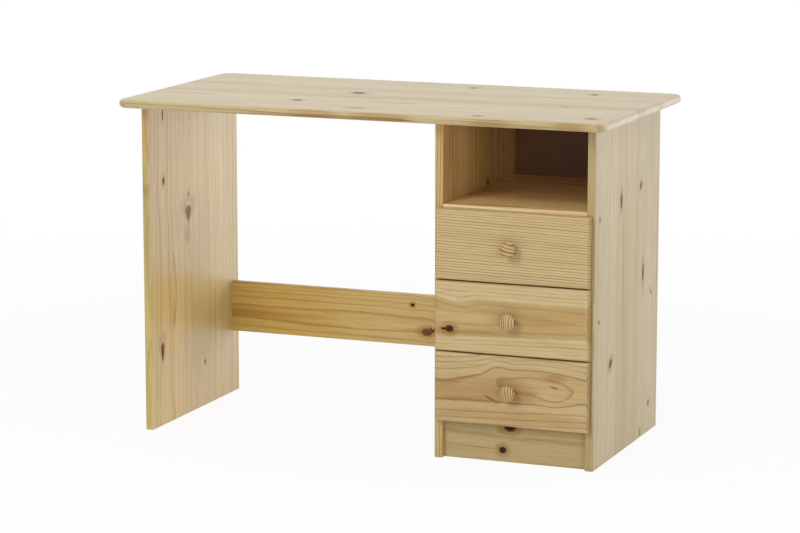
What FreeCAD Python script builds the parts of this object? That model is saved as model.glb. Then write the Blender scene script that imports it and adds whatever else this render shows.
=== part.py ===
import FreeCAD, Part

import enum
import os
import re

import Sketcher

# A pine kneehole desk: a desktop on three side panels, with a pedestal of three drawers on the right.
# The frame has its origin on the floor under the middle of the desktop, +X to the right and -Y to the front.

# Driving dimensions in millimetres
SIZES = {
    # Whole desk
    "desk_width": 1100,
    "desk_depth": 550,
    "desk_height": 730,
    "front_overhang": 50,
    "back_overhang": 50,
    "side_overhang": 37,
    "pedestal_width": 350,
    "overrun": 1,
    # Desktop
    "top_thickness": 18,
    "top_corner_radius": 28,
    "top_edge_radius": 8.5,
    # Side panels
    "panel_thickness": 18,
    "panel_edge_radius": 3,
    # Stretcher
    "stretcher_thickness": 18,
    "stretcher_height": 116,
    "stretcher_lift": 144,
    "stretcher_inset": 20,
    "stretcher_edge_radius": 3,
    # Shelf under the open compartment
    "compartment_height": 171,
    "shelf_thickness": 18,
    "shelf_setback": 2,
    "shelf_edge_radius": 5,
    "shelf_show": 7.5,
    # Plinth and bottom board
    "plinth_height": 82,
    "plinth_thickness": 18,
    "plinth_setback": 14,
    "bottom_thickness": 18,
    "bottom_setback": 2,
    # Hardboard back
    "back_thickness": 3,
    "back_lap": 9,
    "back_play": 0.5,
    # Drawer fronts
    "front_thickness": 18,
    "front_gap": 1,
    "front_reveal": 6.5,
    "front_rise": 1.5,
    "front_edge_radius": 6,
    "drawer_gap": 3,
    # Drawer boxes
    "box_side_gap": 1.5,
    "box_back_gap": 20,
    "box_clearance": 3,
    "box_headroom": 5.5,
    "side_thickness": 12,
    "side_edge_radius": 2,
    "drawer_back_thickness": 12,
    "drawer_bottom_thickness": 3,
    "bottom_rise": 8,
    "bottom_groove_depth": 5,
    "groove_play": 0.4,
    # Runners in the grooves of the drawer sides
    "runner_height": 16,
    "runner_groove_depth": 6.5,
    "runner_tip_gap": 0.5,
    "runner_seat_gap": 0.3,
    "runner_play": 0.7,
    "runner_front_gap": 12,
    "runner_nose_radius": 5,
    # Turned knobs
    "knob_diameter": 35,
    "knob_length": 28,
    "knob_foot_diameter": 22,
    "knob_cove_radius": 9,
    "knob_shoulder_diameter": 27,
    "knob_rim_radius": 6.3,
    "knob_rim_height": 18.8,
    "knob_face_diameter": 30,
    "knob_bore_depth": 16,
    # Screws of the knobs
    "knob_screw_diameter": 4,
    "knob_screw_head_diameter": 8,
    "knob_screw_head_height": 2.5,
    "knob_screw_grip": 14,
    "knob_screw_tip_length": 1,
    "knob_screw_slot_length": 4.4,
    "knob_screw_slot_width": 1.2,
    "knob_screw_slot_depth": 1.4,
    # Dowels of the carcass and of the drawers
    "dowel_diameter": 8,
    "dowel_in_face": 10,
    "dowel_in_end": 20,
    "dowel_chamfer": 1,
    "drawer_dowel_diameter": 6,
    "drawer_dowel_in_face": 10,
    "drawer_dowel_in_end": 14,
    "hole_play": 0.2,
    # Cam locks and their bolts
    "cam_diameter": 15,
    "cam_height": 12,
    "cam_distance": 24,
    "cam_slot_width": 1.4,
    "cam_slot_length": 9,
    "cam_slot_depth": 2,
    "bolt_depth": 9,
    "bolt_channel_diameter": 8,
    "bolt_diameter": 6,
    "bolt_thread_diameter": 5,
    "bolt_thread_length": 10,
    "bolt_neck_diameter": 4,
    "bolt_neck_length": 4,
    "bolt_head_length": 4,
    # Angle brackets under the desktop
    "bracket_leg": 20,
    "bracket_width": 16,
    "bracket_thickness": 2,
    "bracket_bend_radius": 2.5,
    # Wood screws and nails
    "screw_diameter": 3.5,
    "screw_head_diameter": 7,
    "screw_tip_length": 3,
    "screw_slot_length": 3.6,
    "screw_slot_width": 1,
    "screw_slot_depth": 1.2,
    "runner_screw_length": 18,
    "bracket_screw_length": 12,
    "drawer_screw_length": 32,
    "pan_head_height": 2.2,
    "nail_diameter": 1.6,
    "nail_length": 15,
    "nail_head_diameter": 4,
    "nail_head_height": 1,
    "nail_tip_length": 2,
}

DRAWERS = ("bottom", "middle", "top")

# Shares of the sizes that they follow
EDGE_LIMIT_SHARE = 0.48
PANEL_DOWEL_SHARES = (0.12, 0.88)
BRACKET_SHARES = (0.36, 0.8)
SHELF_DOWEL_SHARES = (0.2, 0.8)
SHELF_CAM_SHARES = (0.12, 0.88)
RAIL_DOWEL_SHARES = (0.22, 0.78)
RAIL_CAM_SHARE = 0.5
RUNNER_SHARE = 0.45
RUNNER_SCREW_SHARES = (0.12, 0.88)
BOX_JOINT_SHARES = (0.25, 0.82)
PANEL_NAIL_SHARES = (0.05, 0.28, 0.5, 0.72, 0.95)
SHELF_NAIL_SHARES = (0.3, 0.7)
PAN_HEAD_CROWN_SHARE = 0.6

# How far above or below the middle of a knob's rim the rim has a diameter
RIM_DROP = "sqrt(knob_rim_radius^2 - ({} / 2 - knob_rim_centre)^2)"

# Sizes worked out from the driving ones; x, y and z are places in the desk's frame
DERIVED = {
    "top_round": f"min(top_edge_radius; top_thickness * {EDGE_LIMIT_SHARE})",
    "panel_depth": "desk_depth - front_overhang - back_overhang",
    "panel_height": "desk_height - top_thickness",
    "front_y": "front_overhang - desk_depth / 2",
    "left_panel_x": "side_overhang - desk_width / 2",
    "pedestal_x": "desk_width / 2 - side_overhang - pedestal_width",
    "right_panel_x": "pedestal_x + pedestal_width - panel_thickness",
    "kneehole_x": "left_panel_x + panel_thickness",
    "kneehole_width": "pedestal_x - kneehole_x",
    "bay_x": "pedestal_x + panel_thickness",
    "bay_width": "pedestal_width - 2 * panel_thickness",
    "bay_depth": "panel_depth - back_thickness",
    "stretcher_y": "panel_depth - stretcher_inset - stretcher_thickness",
    "stretcher_bolt_y": "panel_depth - stretcher_inset - bolt_depth",
    "shelf_z": "panel_height - compartment_height - shelf_thickness",
    "shelf_depth": "bay_depth - shelf_setback",
    "bottom_depth": "bay_depth - bottom_setback",
    "back_width": "bay_width + 2 * (back_lap - back_play)",
    "back_height": "panel_height - plinth_height - back_play",
    "front_width": "pedestal_width - 2 * front_reveal",
    "fronts_z": "plinth_height + front_rise",
    "fronts_top": "shelf_z + shelf_thickness - shelf_show",
    "pitch": f"(fronts_top - fronts_z + drawer_gap) / {len(DRAWERS)}",
    "front_height": "pitch - drawer_gap",
    "box_rise": "bottom_thickness - front_rise + box_clearance",
    "box_drop": "shelf_thickness - shelf_show + box_headroom",
    "box_height": "front_height - box_rise - box_drop",
    "box_width": "bay_width - 2 * box_side_gap",
    "box_inner_width": "box_width - 2 * side_thickness",
    "box_depth": "bay_depth - box_back_gap",
    "side_length": "box_depth + front_gap",
    "drawer_back_rise": "bottom_rise + drawer_bottom_thickness",
    "drawer_back_height": "box_height - drawer_back_rise",
    "bottom_tongue": "bottom_groove_depth - groove_play",
    "bottom_groove_height": "drawer_bottom_thickness + groove_play",
    "runner_rise": f"box_height * {RUNNER_SHARE}",
    "runner_thickness": "box_side_gap + runner_groove_depth - runner_tip_gap",
    "runner_length": "box_depth - runner_front_gap",
    "runner_groove_height": "runner_height + runner_seat_gap + runner_play",
    "runners_z": "fronts_z + box_rise + runner_rise",
    "dowel_hole": "dowel_diameter + hole_play",
    "drawer_dowel_hole": "drawer_dowel_diameter + hole_play",
    "screw_hole": "screw_diameter + hole_play",
    "nail_hole": "nail_diameter + hole_play",
    "knob_screw_hole": "knob_screw_diameter + hole_play",
    "cam_hole": "cam_diameter + hole_play",
    "bolt_hole": "bolt_thread_diameter + hole_play",
    "screw_head_height": "(screw_head_diameter - screw_diameter) / 2",
    "knob_x": "pedestal_x + pedestal_width / 2",
    "knob_y": "front_y - front_gap - front_thickness",
    "knob_rim_centre": "knob_diameter / 2 - knob_rim_radius",
    "knob_shoulder": "knob_rim_height - " + RIM_DROP.format("knob_shoulder_diameter"),
    "knob_brow": "knob_rim_height + " + RIM_DROP.format("knob_face_diameter"),
    "knob_dome": "knob_length - knob_brow",
    "knob_face_radius": "(knob_face_diameter^2 / 4 + knob_dome^2) / (2 * knob_dome)",
}

doc = FreeCAD.newDocument("kneehole_desk")
sheet = doc.addObject("Spreadsheet::Sheet", "Sizes")
for row, (alias, size) in enumerate(SIZES.items(), start=1):
    sheet.set(f"A{row}", alias)
    sheet.set(f"B{row}", str(size))
    sheet.setAlias(f"B{row}", alias)
doc.recompute()

NODES = []

# How near two places are to count as one
SAME_PLACE = 0.001


class Axis(enum.IntEnum):
    """A sketch's own axes, as its constraints number them."""

    X = -1
    Y = -2


class Mark(enum.IntEnum):
    """The points of a sketch's edge, as its constraints number them."""

    START = 1
    END = 2
    CENTRE = 3


ORIGIN = (Axis.X, Mark.START)


def spell(text):
    """Write a size out in the cells of the sheet."""

    def word(match):
        name = match.group()
        if name in DERIVED:
            return f"({spell(DERIVED[name])})"
        return f"Sizes.{name}" if name in SIZES else name

    return re.sub(r"[a-z_]\w*", word, text)


def number(text):
    """Work a size out as a number."""
    return float(sheet.evalExpression(spell(text)))


def point(*places):
    return FreeCAD.Vector(*(number(place) for place in places))


def bind(item, path, text):
    item.setExpression(path, spell(text))


def start_body(label, corner=("0", "0", "0"), turning=FreeCAD.Rotation()):
    """Open a piece whose own origin stands at a place in the desk."""
    body = doc.addObject("PartDesign::Body", label)
    body.Label = label
    body.Placement = FreeCAD.Placement(FreeCAD.Vector(), turning)
    for axis, place in zip("xyz", corner):
        bind(body, f"Placement.Base.{axis}", place)
    return body


def sketch_on(body, role, places=("0", "0", "0")):
    """Attach a sketch to one of the body's own planes, moved in its plane and along its normal."""
    plane = next(feature for feature in body.Origin.OriginFeatures if feature.Role == role)
    sketch = body.newObject("Sketcher::SketchObject", f"{body.Name}_sketch")
    sketch.AttachmentSupport = (plane, [""])
    sketch.MapMode = "FlatFace"
    for axis, place in zip("xyz", places):
        bind(sketch, f"AttachmentOffset.Base.{axis}", place)
    return sketch


def hold(sketch, kind, text, *where):
    """Add a dimension to a sketch and tie it to a size."""
    index = sketch.addConstraint(Sketcher.Constraint(kind, *where, number(text)))
    bind(sketch, f"Constraints[{index}]", text)


def hold_point(sketch, geometry, end, across, up):
    """Fix a point of a sketch at two sizes from the sketch's origin."""
    for kind, axis, text in (("DistanceX", Axis.Y, across), ("DistanceY", Axis.X, up)):
        if text == "0":
            sketch.addConstraint(Sketcher.Constraint("PointOnObject", geometry, end, axis))
        else:
            hold(sketch, kind, text, *ORIGIN, geometry, end)


def arc_through(start, stop, radius):
    """Give the arc of a signed radius between two points, bulging to the right of its way if positive."""
    chord = stop - start
    half = chord.Length / 2
    across = FreeCAD.Vector(chord.y, -chord.x, 0).normalize()
    rise = abs(radius) - (radius * radius - half * half) ** 0.5
    middle = (start + stop) / 2 + across * (rise if radius > 0 else -rise)
    return Part.Arc(start, middle, stop)


def draw_outline(sketch, corners, arcs=None):
    """Draw a closed outline through corners, with arcs of signed radius from the corners that arcs names."""
    arcs = arcs or {}
    places = [point(across, up, "0") for across, up in corners]
    ends = []
    for index, start in enumerate(places):
        stop = places[(index + 1) % len(places)]
        if index in arcs:
            sign, radius = arcs[index]
            edge = sketch.addGeometry(arc_through(start, stop, sign * number(radius)))
            backwards = sketch.getPoint(edge, Mark.START).distanceToPoint(start) > SAME_PLACE
            ends.append((edge, (Mark.END, Mark.START) if backwards else (Mark.START, Mark.END)))
        else:
            edge = sketch.addGeometry(Part.LineSegment(start, stop))
            ends.append((edge, (Mark.START, Mark.END)))
    for (edge, (_, last)), (following, (first, _)) in zip(ends, ends[1:] + ends[:1]):
        sketch.addConstraint(Sketcher.Constraint("Coincident", edge, last, following, first))
    for (edge, (first, _)), (across, up) in zip(ends, corners):
        hold_point(sketch, edge, first, across, up)
    for index, (_, radius) in arcs.items():
        hold(sketch, "Radius", radius, ends[index][0])


def draw_rectangle(sketch, width, height):
    draw_outline(sketch, [("0", "0"), (width, "0"), (width, height), ("0", height)])


def draw_circles(sketch, diameter, centres):
    for across, up in centres:
        circle = Part.Circle(point(across, up, "0"), FreeCAD.Vector(0, 0, 1), number(diameter) / 2)
        index = sketch.addGeometry(circle)
        hold_point(sketch, index, Mark.CENTRE, across, up)
        hold(sketch, "Diameter", diameter, index)


def pad(body, sketch, length):
    feature = body.newObject("PartDesign::Pad", f"{body.Name}_pad")
    feature.Profile = (sketch, [""])
    bind(feature, "Length", length)
    doc.recompute()


def cut(body, sketch, depth, reverse):
    """Pocket a sketch into the body, and make sure that it took wood away."""
    doc.recompute()
    before = body.Tip.Shape.Volume
    feature = body.newObject("PartDesign::Pocket", f"{body.Name}_pocket")
    feature.Profile = (sketch, [""])
    feature.Reversed = reverse
    bind(feature, "Length", depth)
    doc.recompute()
    if not feature.Shape.Volume < before:
        raise RuntimeError(f"a pocket in {body.Label} cuts nothing")


def lies_at(edge, axis, place):
    """Tell whether an edge lies wholly at one place along an axis."""
    box = edge.BoundBox
    return all(abs(getattr(box, axis + end) - place) < SAME_PLACE for end in ("Min", "Max"))


def is_circle(edge, diameter):
    return isinstance(edge.Curve, Part.Circle) and abs(2 * edge.Curve.Radius - diameter) < SAME_PLACE


def edges_at(body, places):
    """Name the edges that lie at all the places of any one entry, such as X and Y of a corner."""
    wanted = [{axis: number(text) for axis, text in entry.items()} for entry in places]
    return [
        f"Edge{index}"
        for index, edge in enumerate(body.Tip.Shape.Edges, start=1)
        if any(all(lies_at(edge, *pair) for pair in entry.items()) for entry in wanted)
    ]


def dress(body, kind, edges, property_name, size):
    """Round or chamfer edges of the body."""
    base = body.Tip
    feature = body.newObject(f"PartDesign::{kind}", f"{body.Name}_{kind.lower()}")
    feature.Base = (base, edges)
    bind(feature, property_name, size)
    doc.recompute()


class Board:
    """A board: a rectangle padded to its height, then rounded, grooved and drilled from its faces."""

    def __init__(self, label, corner, width, depth, height):
        self.width, self.depth, self.height = width, depth, height
        self.body = start_body(label, corner)
        footprint = sketch_on(self.body, "XY_Plane")
        draw_rectangle(footprint, width, depth)
        pad(self.body, footprint, height)
        NODES.append(self.body)

    def sketch_in(self, face, sunk, corner):
        """Lay a sketch in a face, or sunk under it, and tell whether a cut from it runs along its normal."""
        role, size, far = {
            "left": ("YZ_Plane", self.width, False),
            "right": ("YZ_Plane", self.width, True),
            "front": ("XZ_Plane", self.depth, False),
            "back": ("XZ_Plane", self.depth, True),
            "under": ("XY_Plane", self.height, False),
            "upper": ("XY_Plane", self.height, True),
        }[face]
        place = f"({size} - ({sunk}))" if far else f"({sunk})"
        faces_front = role == "XZ_Plane"
        offset = f"-{place}" if faces_front else place
        return sketch_on(self.body, role, (*corner, offset)), far == faces_front

    def round(self, radius, *places):
        """Round the edges that lie at the places given."""
        dress(self.body, "Fillet", edges_at(self.body, places), "Radius", radius)

    def drill(self, face, diameter, depth, centres, sunk="0"):
        """Drill blind holes at places in a face, measured from the board's own origin."""
        sketch, reverse = self.sketch_in(face, sunk, ("0", "0"))
        draw_circles(sketch, diameter, centres)
        cut(self.body, sketch, depth, reverse)

    def groove(self, face, corner, width, height, depth):
        """Cut a rectangular groove or rebate, with its low corner at a place in the face."""
        sketch, reverse = self.sketch_in(face, "0", corner)
        draw_rectangle(sketch, width, height)
        cut(self.body, sketch, depth, reverse)

    def countersink(self, face, centres):
        """Drill screw holes through the board's width and sink their mouths for flat heads."""
        self.drill(face, "screw_hole", self.width, centres)
        mouth_x = number(self.width if face == "right" else "0")
        mouths = [
            f"Edge{index}"
            for index, edge in enumerate(self.body.Tip.Shape.Edges, start=1)
            if lies_at(edge, "X", mouth_x) and is_circle(edge, number("screw_hole"))
        ]
        dress(self.body, "Chamfer", mouths, "Size", "screw_head_height")


def turn(label, corners, arcs=None, place=("0", "0", "0"), turning=FreeCAD.Rotation()):
    """Turn a piece round its own Z axis from a half outline of radius and height."""
    body = start_body(label, place, turning)
    profile = sketch_on(body, "XZ_Plane")
    draw_outline(profile, corners, arcs)
    feature = body.newObject("PartDesign::Revolution", f"{body.Name}_turning")
    feature.Profile = (profile, [""])
    feature.ReferenceAxis = (profile, ["V_Axis"])
    doc.recompute()
    return body


def scatter(label, pattern, places):
    """Make one node of like fasteners: copies of a pattern's solid, each turned and moved to its place."""
    copies = []
    for place, turning in places:
        copy = pattern.Shape.copy()
        copy.Placement = FreeCAD.Placement(point(*place), turning)
        copies.append(copy)
    group = doc.addObject("Part::Feature", label)
    group.Label = label
    group.Shape = Part.Compound(copies)
    NODES.append(group)


def shared(size, shares, start="0"):
    """Give places along a size, one for each share of it."""
    return [f"{start} + ({size}) * {share}" for share in shares]


def heading(*way):
    """The turning that points a fastener's own +Z along a way."""
    return FreeCAD.Rotation(FreeCAD.Vector(0, 0, 1), FreeCAD.Vector(*way))


UP = heading(0, 0, 1)
DOWN = heading(0, 0, -1)
RIGHT = heading(1, 0, 0)
LEFT = heading(-1, 0, 0)
FRONT = heading(0, -1, 0)
BACK = heading(0, 1, 0)
HALF_TURN = FreeCAD.Rotation(FreeCAD.Vector(0, 0, 1), 180)

# Places of the joints, measured from a panel's front edge and from the floor
PANEL_DOWELS_Y = shared("panel_depth", PANEL_DOWEL_SHARES)
BRACKETS_Y = shared("panel_depth", BRACKET_SHARES)
SHELF_DOWELS_Y = shared("shelf_depth", SHELF_DOWEL_SHARES, "shelf_setback")
SHELF_CAMS_Y = shared("shelf_depth", SHELF_CAM_SHARES, "shelf_setback")
BOTTOM_DOWELS_Y = shared("bottom_depth", SHELF_DOWEL_SHARES, "bottom_setback")
BOTTOM_CAMS_Y = shared("bottom_depth", SHELF_CAM_SHARES, "bottom_setback")
STRETCHER_DOWELS_Z = shared("stretcher_height", RAIL_DOWEL_SHARES, "stretcher_lift")
STRETCHER_CAM_Z = f"stretcher_lift + stretcher_height * {RAIL_CAM_SHARE}"
STRETCHER_MIDDLE_Y = "stretcher_y + stretcher_thickness / 2"
PLINTH_DOWELS_Z = shared("plinth_height", RAIL_DOWEL_SHARES)
PLINTH_MIDDLE_Y = "plinth_setback + plinth_thickness / 2"
SHELF_MIDDLE_Z = "shelf_z + shelf_thickness / 2"
SHELF_BOLT_Z = "shelf_z + bolt_depth"
BOTTOM_MIDDLE_Z = "plinth_height + bottom_thickness / 2"
BOTTOM_BOLT_Z = "plinth_height + bolt_depth"
RUNNERS_Z = [f"runners_z + pitch * {count}" for count in range(len(DRAWERS))]
RUNNER_SCREWS_Y = shared("runner_length", RUNNER_SCREW_SHARES)
PANEL_NAILS_Z = shared("back_height", PANEL_NAIL_SHARES)
SHELF_NAILS_X = shared("bay_width", SHELF_NAIL_SHARES)
BRACKET_SCREW = "(bracket_leg + bracket_thickness) / 2"

# Depths of the holes, each a little more than what goes in
DOWEL_FACE_HOLE = "dowel_in_face + hole_play"
DOWEL_END_HOLE = "dowel_in_end + hole_play"
BOLT_THREAD_HOLE = "bolt_thread_length + hole_play"
CAM_HOLE = "cam_height + hole_play"
RUNNER_SCREW_HOLE = "runner_screw_length - runner_thickness + hole_play"
BRACKET_SCREW_HOLE = "bracket_screw_length - bracket_thickness + hole_play"
NAIL_HOLE = "nail_length - back_thickness + hole_play"


def make_desktop():
    """The desktop: round corners, a round edge, and blind holes underneath for dowels and bracket screws."""
    corner = ("-desk_width / 2", "-desk_depth / 2", "panel_height")
    top = Board("desktop", corner, "desk_width", "desk_depth", "top_thickness")
    corners = [{"X": x, "Y": y} for x in ("0", "desk_width") for y in ("0", "desk_depth")]
    top.round("top_corner_radius", *corners)
    top.round("top_round", {"Z": "0"}, {"Z": "top_thickness"})
    panels_x = ("left_panel_x", "pedestal_x", "right_panel_x")
    dowels_x = [f"{x} + (desk_width + panel_thickness) / 2" for x in panels_x]
    brackets_x = (
        f"desk_width / 2 + kneehole_x + {BRACKET_SCREW}",
        f"desk_width / 2 + bay_x + {BRACKET_SCREW}",
        f"desk_width / 2 + right_panel_x - {BRACKET_SCREW}",
    )
    dowels = [(x, f"front_overhang + {y}") for x in dowels_x for y in PANEL_DOWELS_Y]
    screws = [(x, f"front_overhang + {y}") for x in brackets_x for y in BRACKETS_Y]
    top.drill("under", "dowel_hole", DOWEL_FACE_HOLE, dowels)
    top.drill("under", "screw_hole", BRACKET_SCREW_HOLE, screws)


def make_panel(label, x, inner, rounded_back):
    """A side panel with its edges rounded, drilled on top for dowels and inside for bracket screws."""
    panel = Board(label, (x, "front_y", "0"), "panel_thickness", "panel_depth", "panel_height")
    edges = [{"X": side, "Y": "0"} for side in ("0", "panel_thickness")]
    edges += [{"X": side, "Y": "panel_depth"} for side in rounded_back]
    panel.round("panel_edge_radius", *edges)
    panel.drill("upper", "dowel_hole", DOWEL_END_HOLE, [("panel_thickness / 2", y) for y in PANEL_DOWELS_Y])
    screws = [(y, f"panel_height - {BRACKET_SCREW}") for y in BRACKETS_Y]
    panel.drill(inner, "screw_hole", BRACKET_SCREW_HOLE, screws)
    return panel


def seat_stretcher(panel, face):
    """Holes in a panel for one end of the stretcher."""
    panel.drill(face, "dowel_hole", DOWEL_FACE_HOLE, [(STRETCHER_MIDDLE_Y, z) for z in STRETCHER_DOWELS_Z])
    panel.drill(face, "bolt_hole", BOLT_THREAD_HOLE, [("stretcher_bolt_y", STRETCHER_CAM_Z)])


def line_bay(panel, face):
    """What a pedestal panel has inside: a rebate for the back, and holes for the boards and the runners."""
    lap_x = "0" if face == "left" else "panel_thickness - back_lap"
    panel.groove("upper", (lap_x, "bay_depth"), "back_lap", "back_thickness", "panel_height")
    dowels = [(y, SHELF_MIDDLE_Z) for y in SHELF_DOWELS_Y]
    dowels += [(y, BOTTOM_MIDDLE_Z) for y in BOTTOM_DOWELS_Y]
    dowels += [(PLINTH_MIDDLE_Y, z) for z in PLINTH_DOWELS_Z]
    panel.drill(face, "dowel_hole", DOWEL_FACE_HOLE, dowels)
    bolts = [(y, SHELF_BOLT_Z) for y in SHELF_CAMS_Y] + [(y, BOTTOM_BOLT_Z) for y in BOTTOM_CAMS_Y]
    panel.drill(face, "bolt_hole", BOLT_THREAD_HOLE, bolts)
    screws_y = [f"runner_front_gap + {y}" for y in RUNNER_SCREWS_Y]
    screws = [(y, f"{z} + runner_height / 2") for z in RUNNERS_Z for y in screws_y]
    panel.drill(face, "screw_hole", RUNNER_SCREW_HOLE, screws)
    nails = [(f"{lap_x} + back_lap / 2", f"plinth_height + {z}") for z in PANEL_NAILS_Z]
    panel.drill("back", "nail_hole", NAIL_HOLE, nails, sunk="back_thickness")


def make_panels():
    """The three side panels; the pedestal's pair keep square back edges where the hardboard laps them."""
    both = ("0", "panel_thickness")
    left = make_panel("left_side_panel", "left_panel_x", "right", both)
    seat_stretcher(left, "right")
    pedestal_left = make_panel("pedestal_left_panel", "pedestal_x", "right", both[:1])
    seat_stretcher(pedestal_left, "left")
    line_bay(pedestal_left, "right")
    pedestal_right = make_panel("pedestal_right_panel", "right_panel_x", "left", both[1:])
    line_bay(pedestal_right, "left")


def make_stretcher():
    """The rail at the back of the kneehole, with dowels in its ends and a cam lock behind each end."""
    corner = ("kneehole_x", "front_y + stretcher_y", "stretcher_lift")
    rail = Board("stretcher", corner, "kneehole_width", "stretcher_thickness", "stretcher_height")
    depths = ("0", "stretcher_thickness")
    edges = [{"Y": y, "Z": z} for y in depths for z in ("0", "stretcher_height")]
    rail.round("stretcher_edge_radius", *edges)
    dowels = [("stretcher_thickness / 2", z) for z in shared("stretcher_height", RAIL_DOWEL_SHARES)]
    bolt_y = "stretcher_thickness - bolt_depth"
    bolt_z = f"stretcher_height * {RAIL_CAM_SHARE}"
    for end in ("left", "right"):
        rail.drill(end, "dowel_hole", DOWEL_END_HOLE, dowels)
        rail.drill(end, "bolt_channel_diameter", "cam_distance", [(bolt_y, bolt_z)])
    cams = [(x, bolt_z) for x in ("cam_distance", "kneehole_width - cam_distance")]
    rail.drill("back", "cam_hole", CAM_HOLE, cams)


def make_shelf(label, z, setback, depth, thickness):
    """A board across the pedestal: dowels and cam locks at its ends, and nails of the back behind."""
    shelf = Board(label, ("bay_x", f"front_y + {setback}", z), "bay_width", depth, thickness)
    shelf.round("shelf_edge_radius", {"Y": "0", "Z": "0"}, {"Y": "0", "Z": thickness})
    dowels = [(y, f"{thickness} / 2") for y in shared(depth, SHELF_DOWEL_SHARES)]
    cams_y = shared(depth, SHELF_CAM_SHARES)
    for end in ("left", "right"):
        shelf.drill(end, "dowel_hole", DOWEL_END_HOLE, dowels)
        shelf.drill(end, "bolt_channel_diameter", "cam_distance", [(y, "bolt_depth") for y in cams_y])
    cams = [(x, y) for x in ("cam_distance", "bay_width - cam_distance") for y in cams_y]
    shelf.drill("under", "cam_hole", CAM_HOLE, cams)
    shelf.drill("back", "nail_hole", NAIL_HOLE, [(x, f"{thickness} / 2") for x in SHELF_NAILS_X])


def make_plinth():
    """The plinth between the pedestal's panels, under the bottom board."""
    corner = ("bay_x", "front_y + plinth_setback", "0")
    plinth = Board("plinth", corner, "bay_width", "plinth_thickness", "plinth_height")
    dowels = [("plinth_thickness / 2", z) for z in PLINTH_DOWELS_Z]
    for end in ("left", "right"):
        plinth.drill(end, "dowel_hole", DOWEL_END_HOLE, dowels)


def make_back_panel():
    """The hardboard back, set into the rebates of the pedestal's panels, with its nail holes."""
    corner = ("bay_x - back_lap + back_play", "front_y + bay_depth", "plinth_height")
    back = Board("back_panel", corner, "back_width", "back_thickness", "back_height")
    edge_x = "back_lap / 2 - back_play"
    nails = [(x, z) for x in (edge_x, f"back_width - ({edge_x})") for z in PANEL_NAILS_Z]
    shelf_rows = (f"{SHELF_MIDDLE_Z} - plinth_height", "bottom_thickness / 2")
    nails += [(f"back_lap - back_play + {x}", z) for x in SHELF_NAILS_X for z in shelf_rows]
    back.drill("back", "nail_hole", "back_thickness", nails)


def make_runner(label, x, z, face):
    """A drawer runner: a wooden strip with a rounded nose, screwed to its panel from the face given."""
    corner = (x, "front_y + runner_front_gap", z)
    runner = Board(label, corner, "runner_thickness", "runner_length", "runner_height")
    runner.round("runner_nose_radius", {"Y": "0", "Z": "0"}, {"Y": "0", "Z": "runner_height"})
    runner.countersink(face, [(y, "runner_height / 2") for y in RUNNER_SCREWS_Y])


def make_runners():
    for drawer, z in zip(DRAWERS, RUNNERS_Z):
        make_runner(f"runner_{drawer}_left", "bay_x", z, "right")
        make_runner(f"runner_{drawer}_right", "right_panel_x - runner_thickness", z, "left")


def dowel(label, diameter, in_face, in_end):
    """A chamfered dowel: its foot goes into a board's face, and the rest along +Z into the end of another."""
    waist = f"{diameter} / 2 - dowel_chamfer"
    corners = [
        ("0", f"-{in_face}"),
        (waist, f"-{in_face}"),
        (f"{diameter} / 2", f"dowel_chamfer - {in_face}"),
        (f"{diameter} / 2", f"{in_end} - dowel_chamfer"),
        (waist, in_end),
        ("0", in_end),
    ]
    return turn(label, corners)


def cut_cross(body, name, top="0"):
    """Cut the cross slot for a driver, sized by the name given, along +Z from the height given."""
    size = (f"{name}_slot_length", f"{name}_slot_width")
    for width, height in (size, size[::-1]):
        slot = sketch_on(body, "XY_Plane", (f"-{width} / 2", f"-{height} / 2", top))
        draw_rectangle(slot, width, height)
        cut(body, slot, f"{name}_slot_depth", True)


def flat_screw(label, length):
    """A wood screw with a flat head level with the surface, pointing along +Z."""
    corners = [
        ("0", "0"),
        ("screw_head_diameter / 2", "0"),
        ("screw_diameter / 2", "screw_head_height"),
        ("screw_diameter / 2", f"{length} - screw_tip_length"),
        ("0", length),
    ]
    screw = turn(label, corners)
    cut_cross(screw, "screw")
    return screw


def headed_pin(head_diameter, head_height, diameter, length, tip):
    """The half outline of a screw or nail whose head stands on the surface, pointing along +Z."""
    return [
        ("0", f"-{head_height}"),
        (f"{head_diameter} / 2 * {PAN_HEAD_CROWN_SHARE}", f"-{head_height}"),
        (f"{head_diameter} / 2", f"-{head_height} * {PAN_HEAD_CROWN_SHARE}"),
        (f"{head_diameter} / 2", "0"),
        (f"{diameter} / 2", "0"),
        (f"{diameter} / 2", f"{length} - {tip}"),
        ("0", length),
    ]


def make_carcass_dowels():
    """The dowels of each joint of the carcass, one node for each joint."""
    peg = dowel("dowel", "dowel_diameter", "dowel_in_face", "dowel_in_end")
    panels_x = ("left_panel_x", "pedestal_x", "right_panel_x")
    top = [
        ((f"{x} + panel_thickness / 2", f"front_y + {y}", "panel_height"), DOWN)
        for x in panels_x
        for y in PANEL_DOWELS_Y
    ]
    scatter("top_dowels", peg, top)
    kneehole_ends = (("kneehole_x", RIGHT), ("pedestal_x", LEFT))
    bay_ends = (("bay_x", RIGHT), ("right_panel_x", LEFT))
    joints = {
        "stretcher_dowels": (kneehole_ends, [(STRETCHER_MIDDLE_Y, z) for z in STRETCHER_DOWELS_Z]),
        "shelf_dowels": (bay_ends, [(y, SHELF_MIDDLE_Z) for y in SHELF_DOWELS_Y]),
        "bottom_dowels": (bay_ends, [(y, BOTTOM_MIDDLE_Z) for y in BOTTOM_DOWELS_Y]),
        "plinth_dowels": (bay_ends, [(PLINTH_MIDDLE_Y, z) for z in PLINTH_DOWELS_Z]),
    }
    for label, (ends, rows) in joints.items():
        scatter(label, peg, [((x, f"front_y + {y}", z), way) for x, way in ends for y, z in rows])


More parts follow.
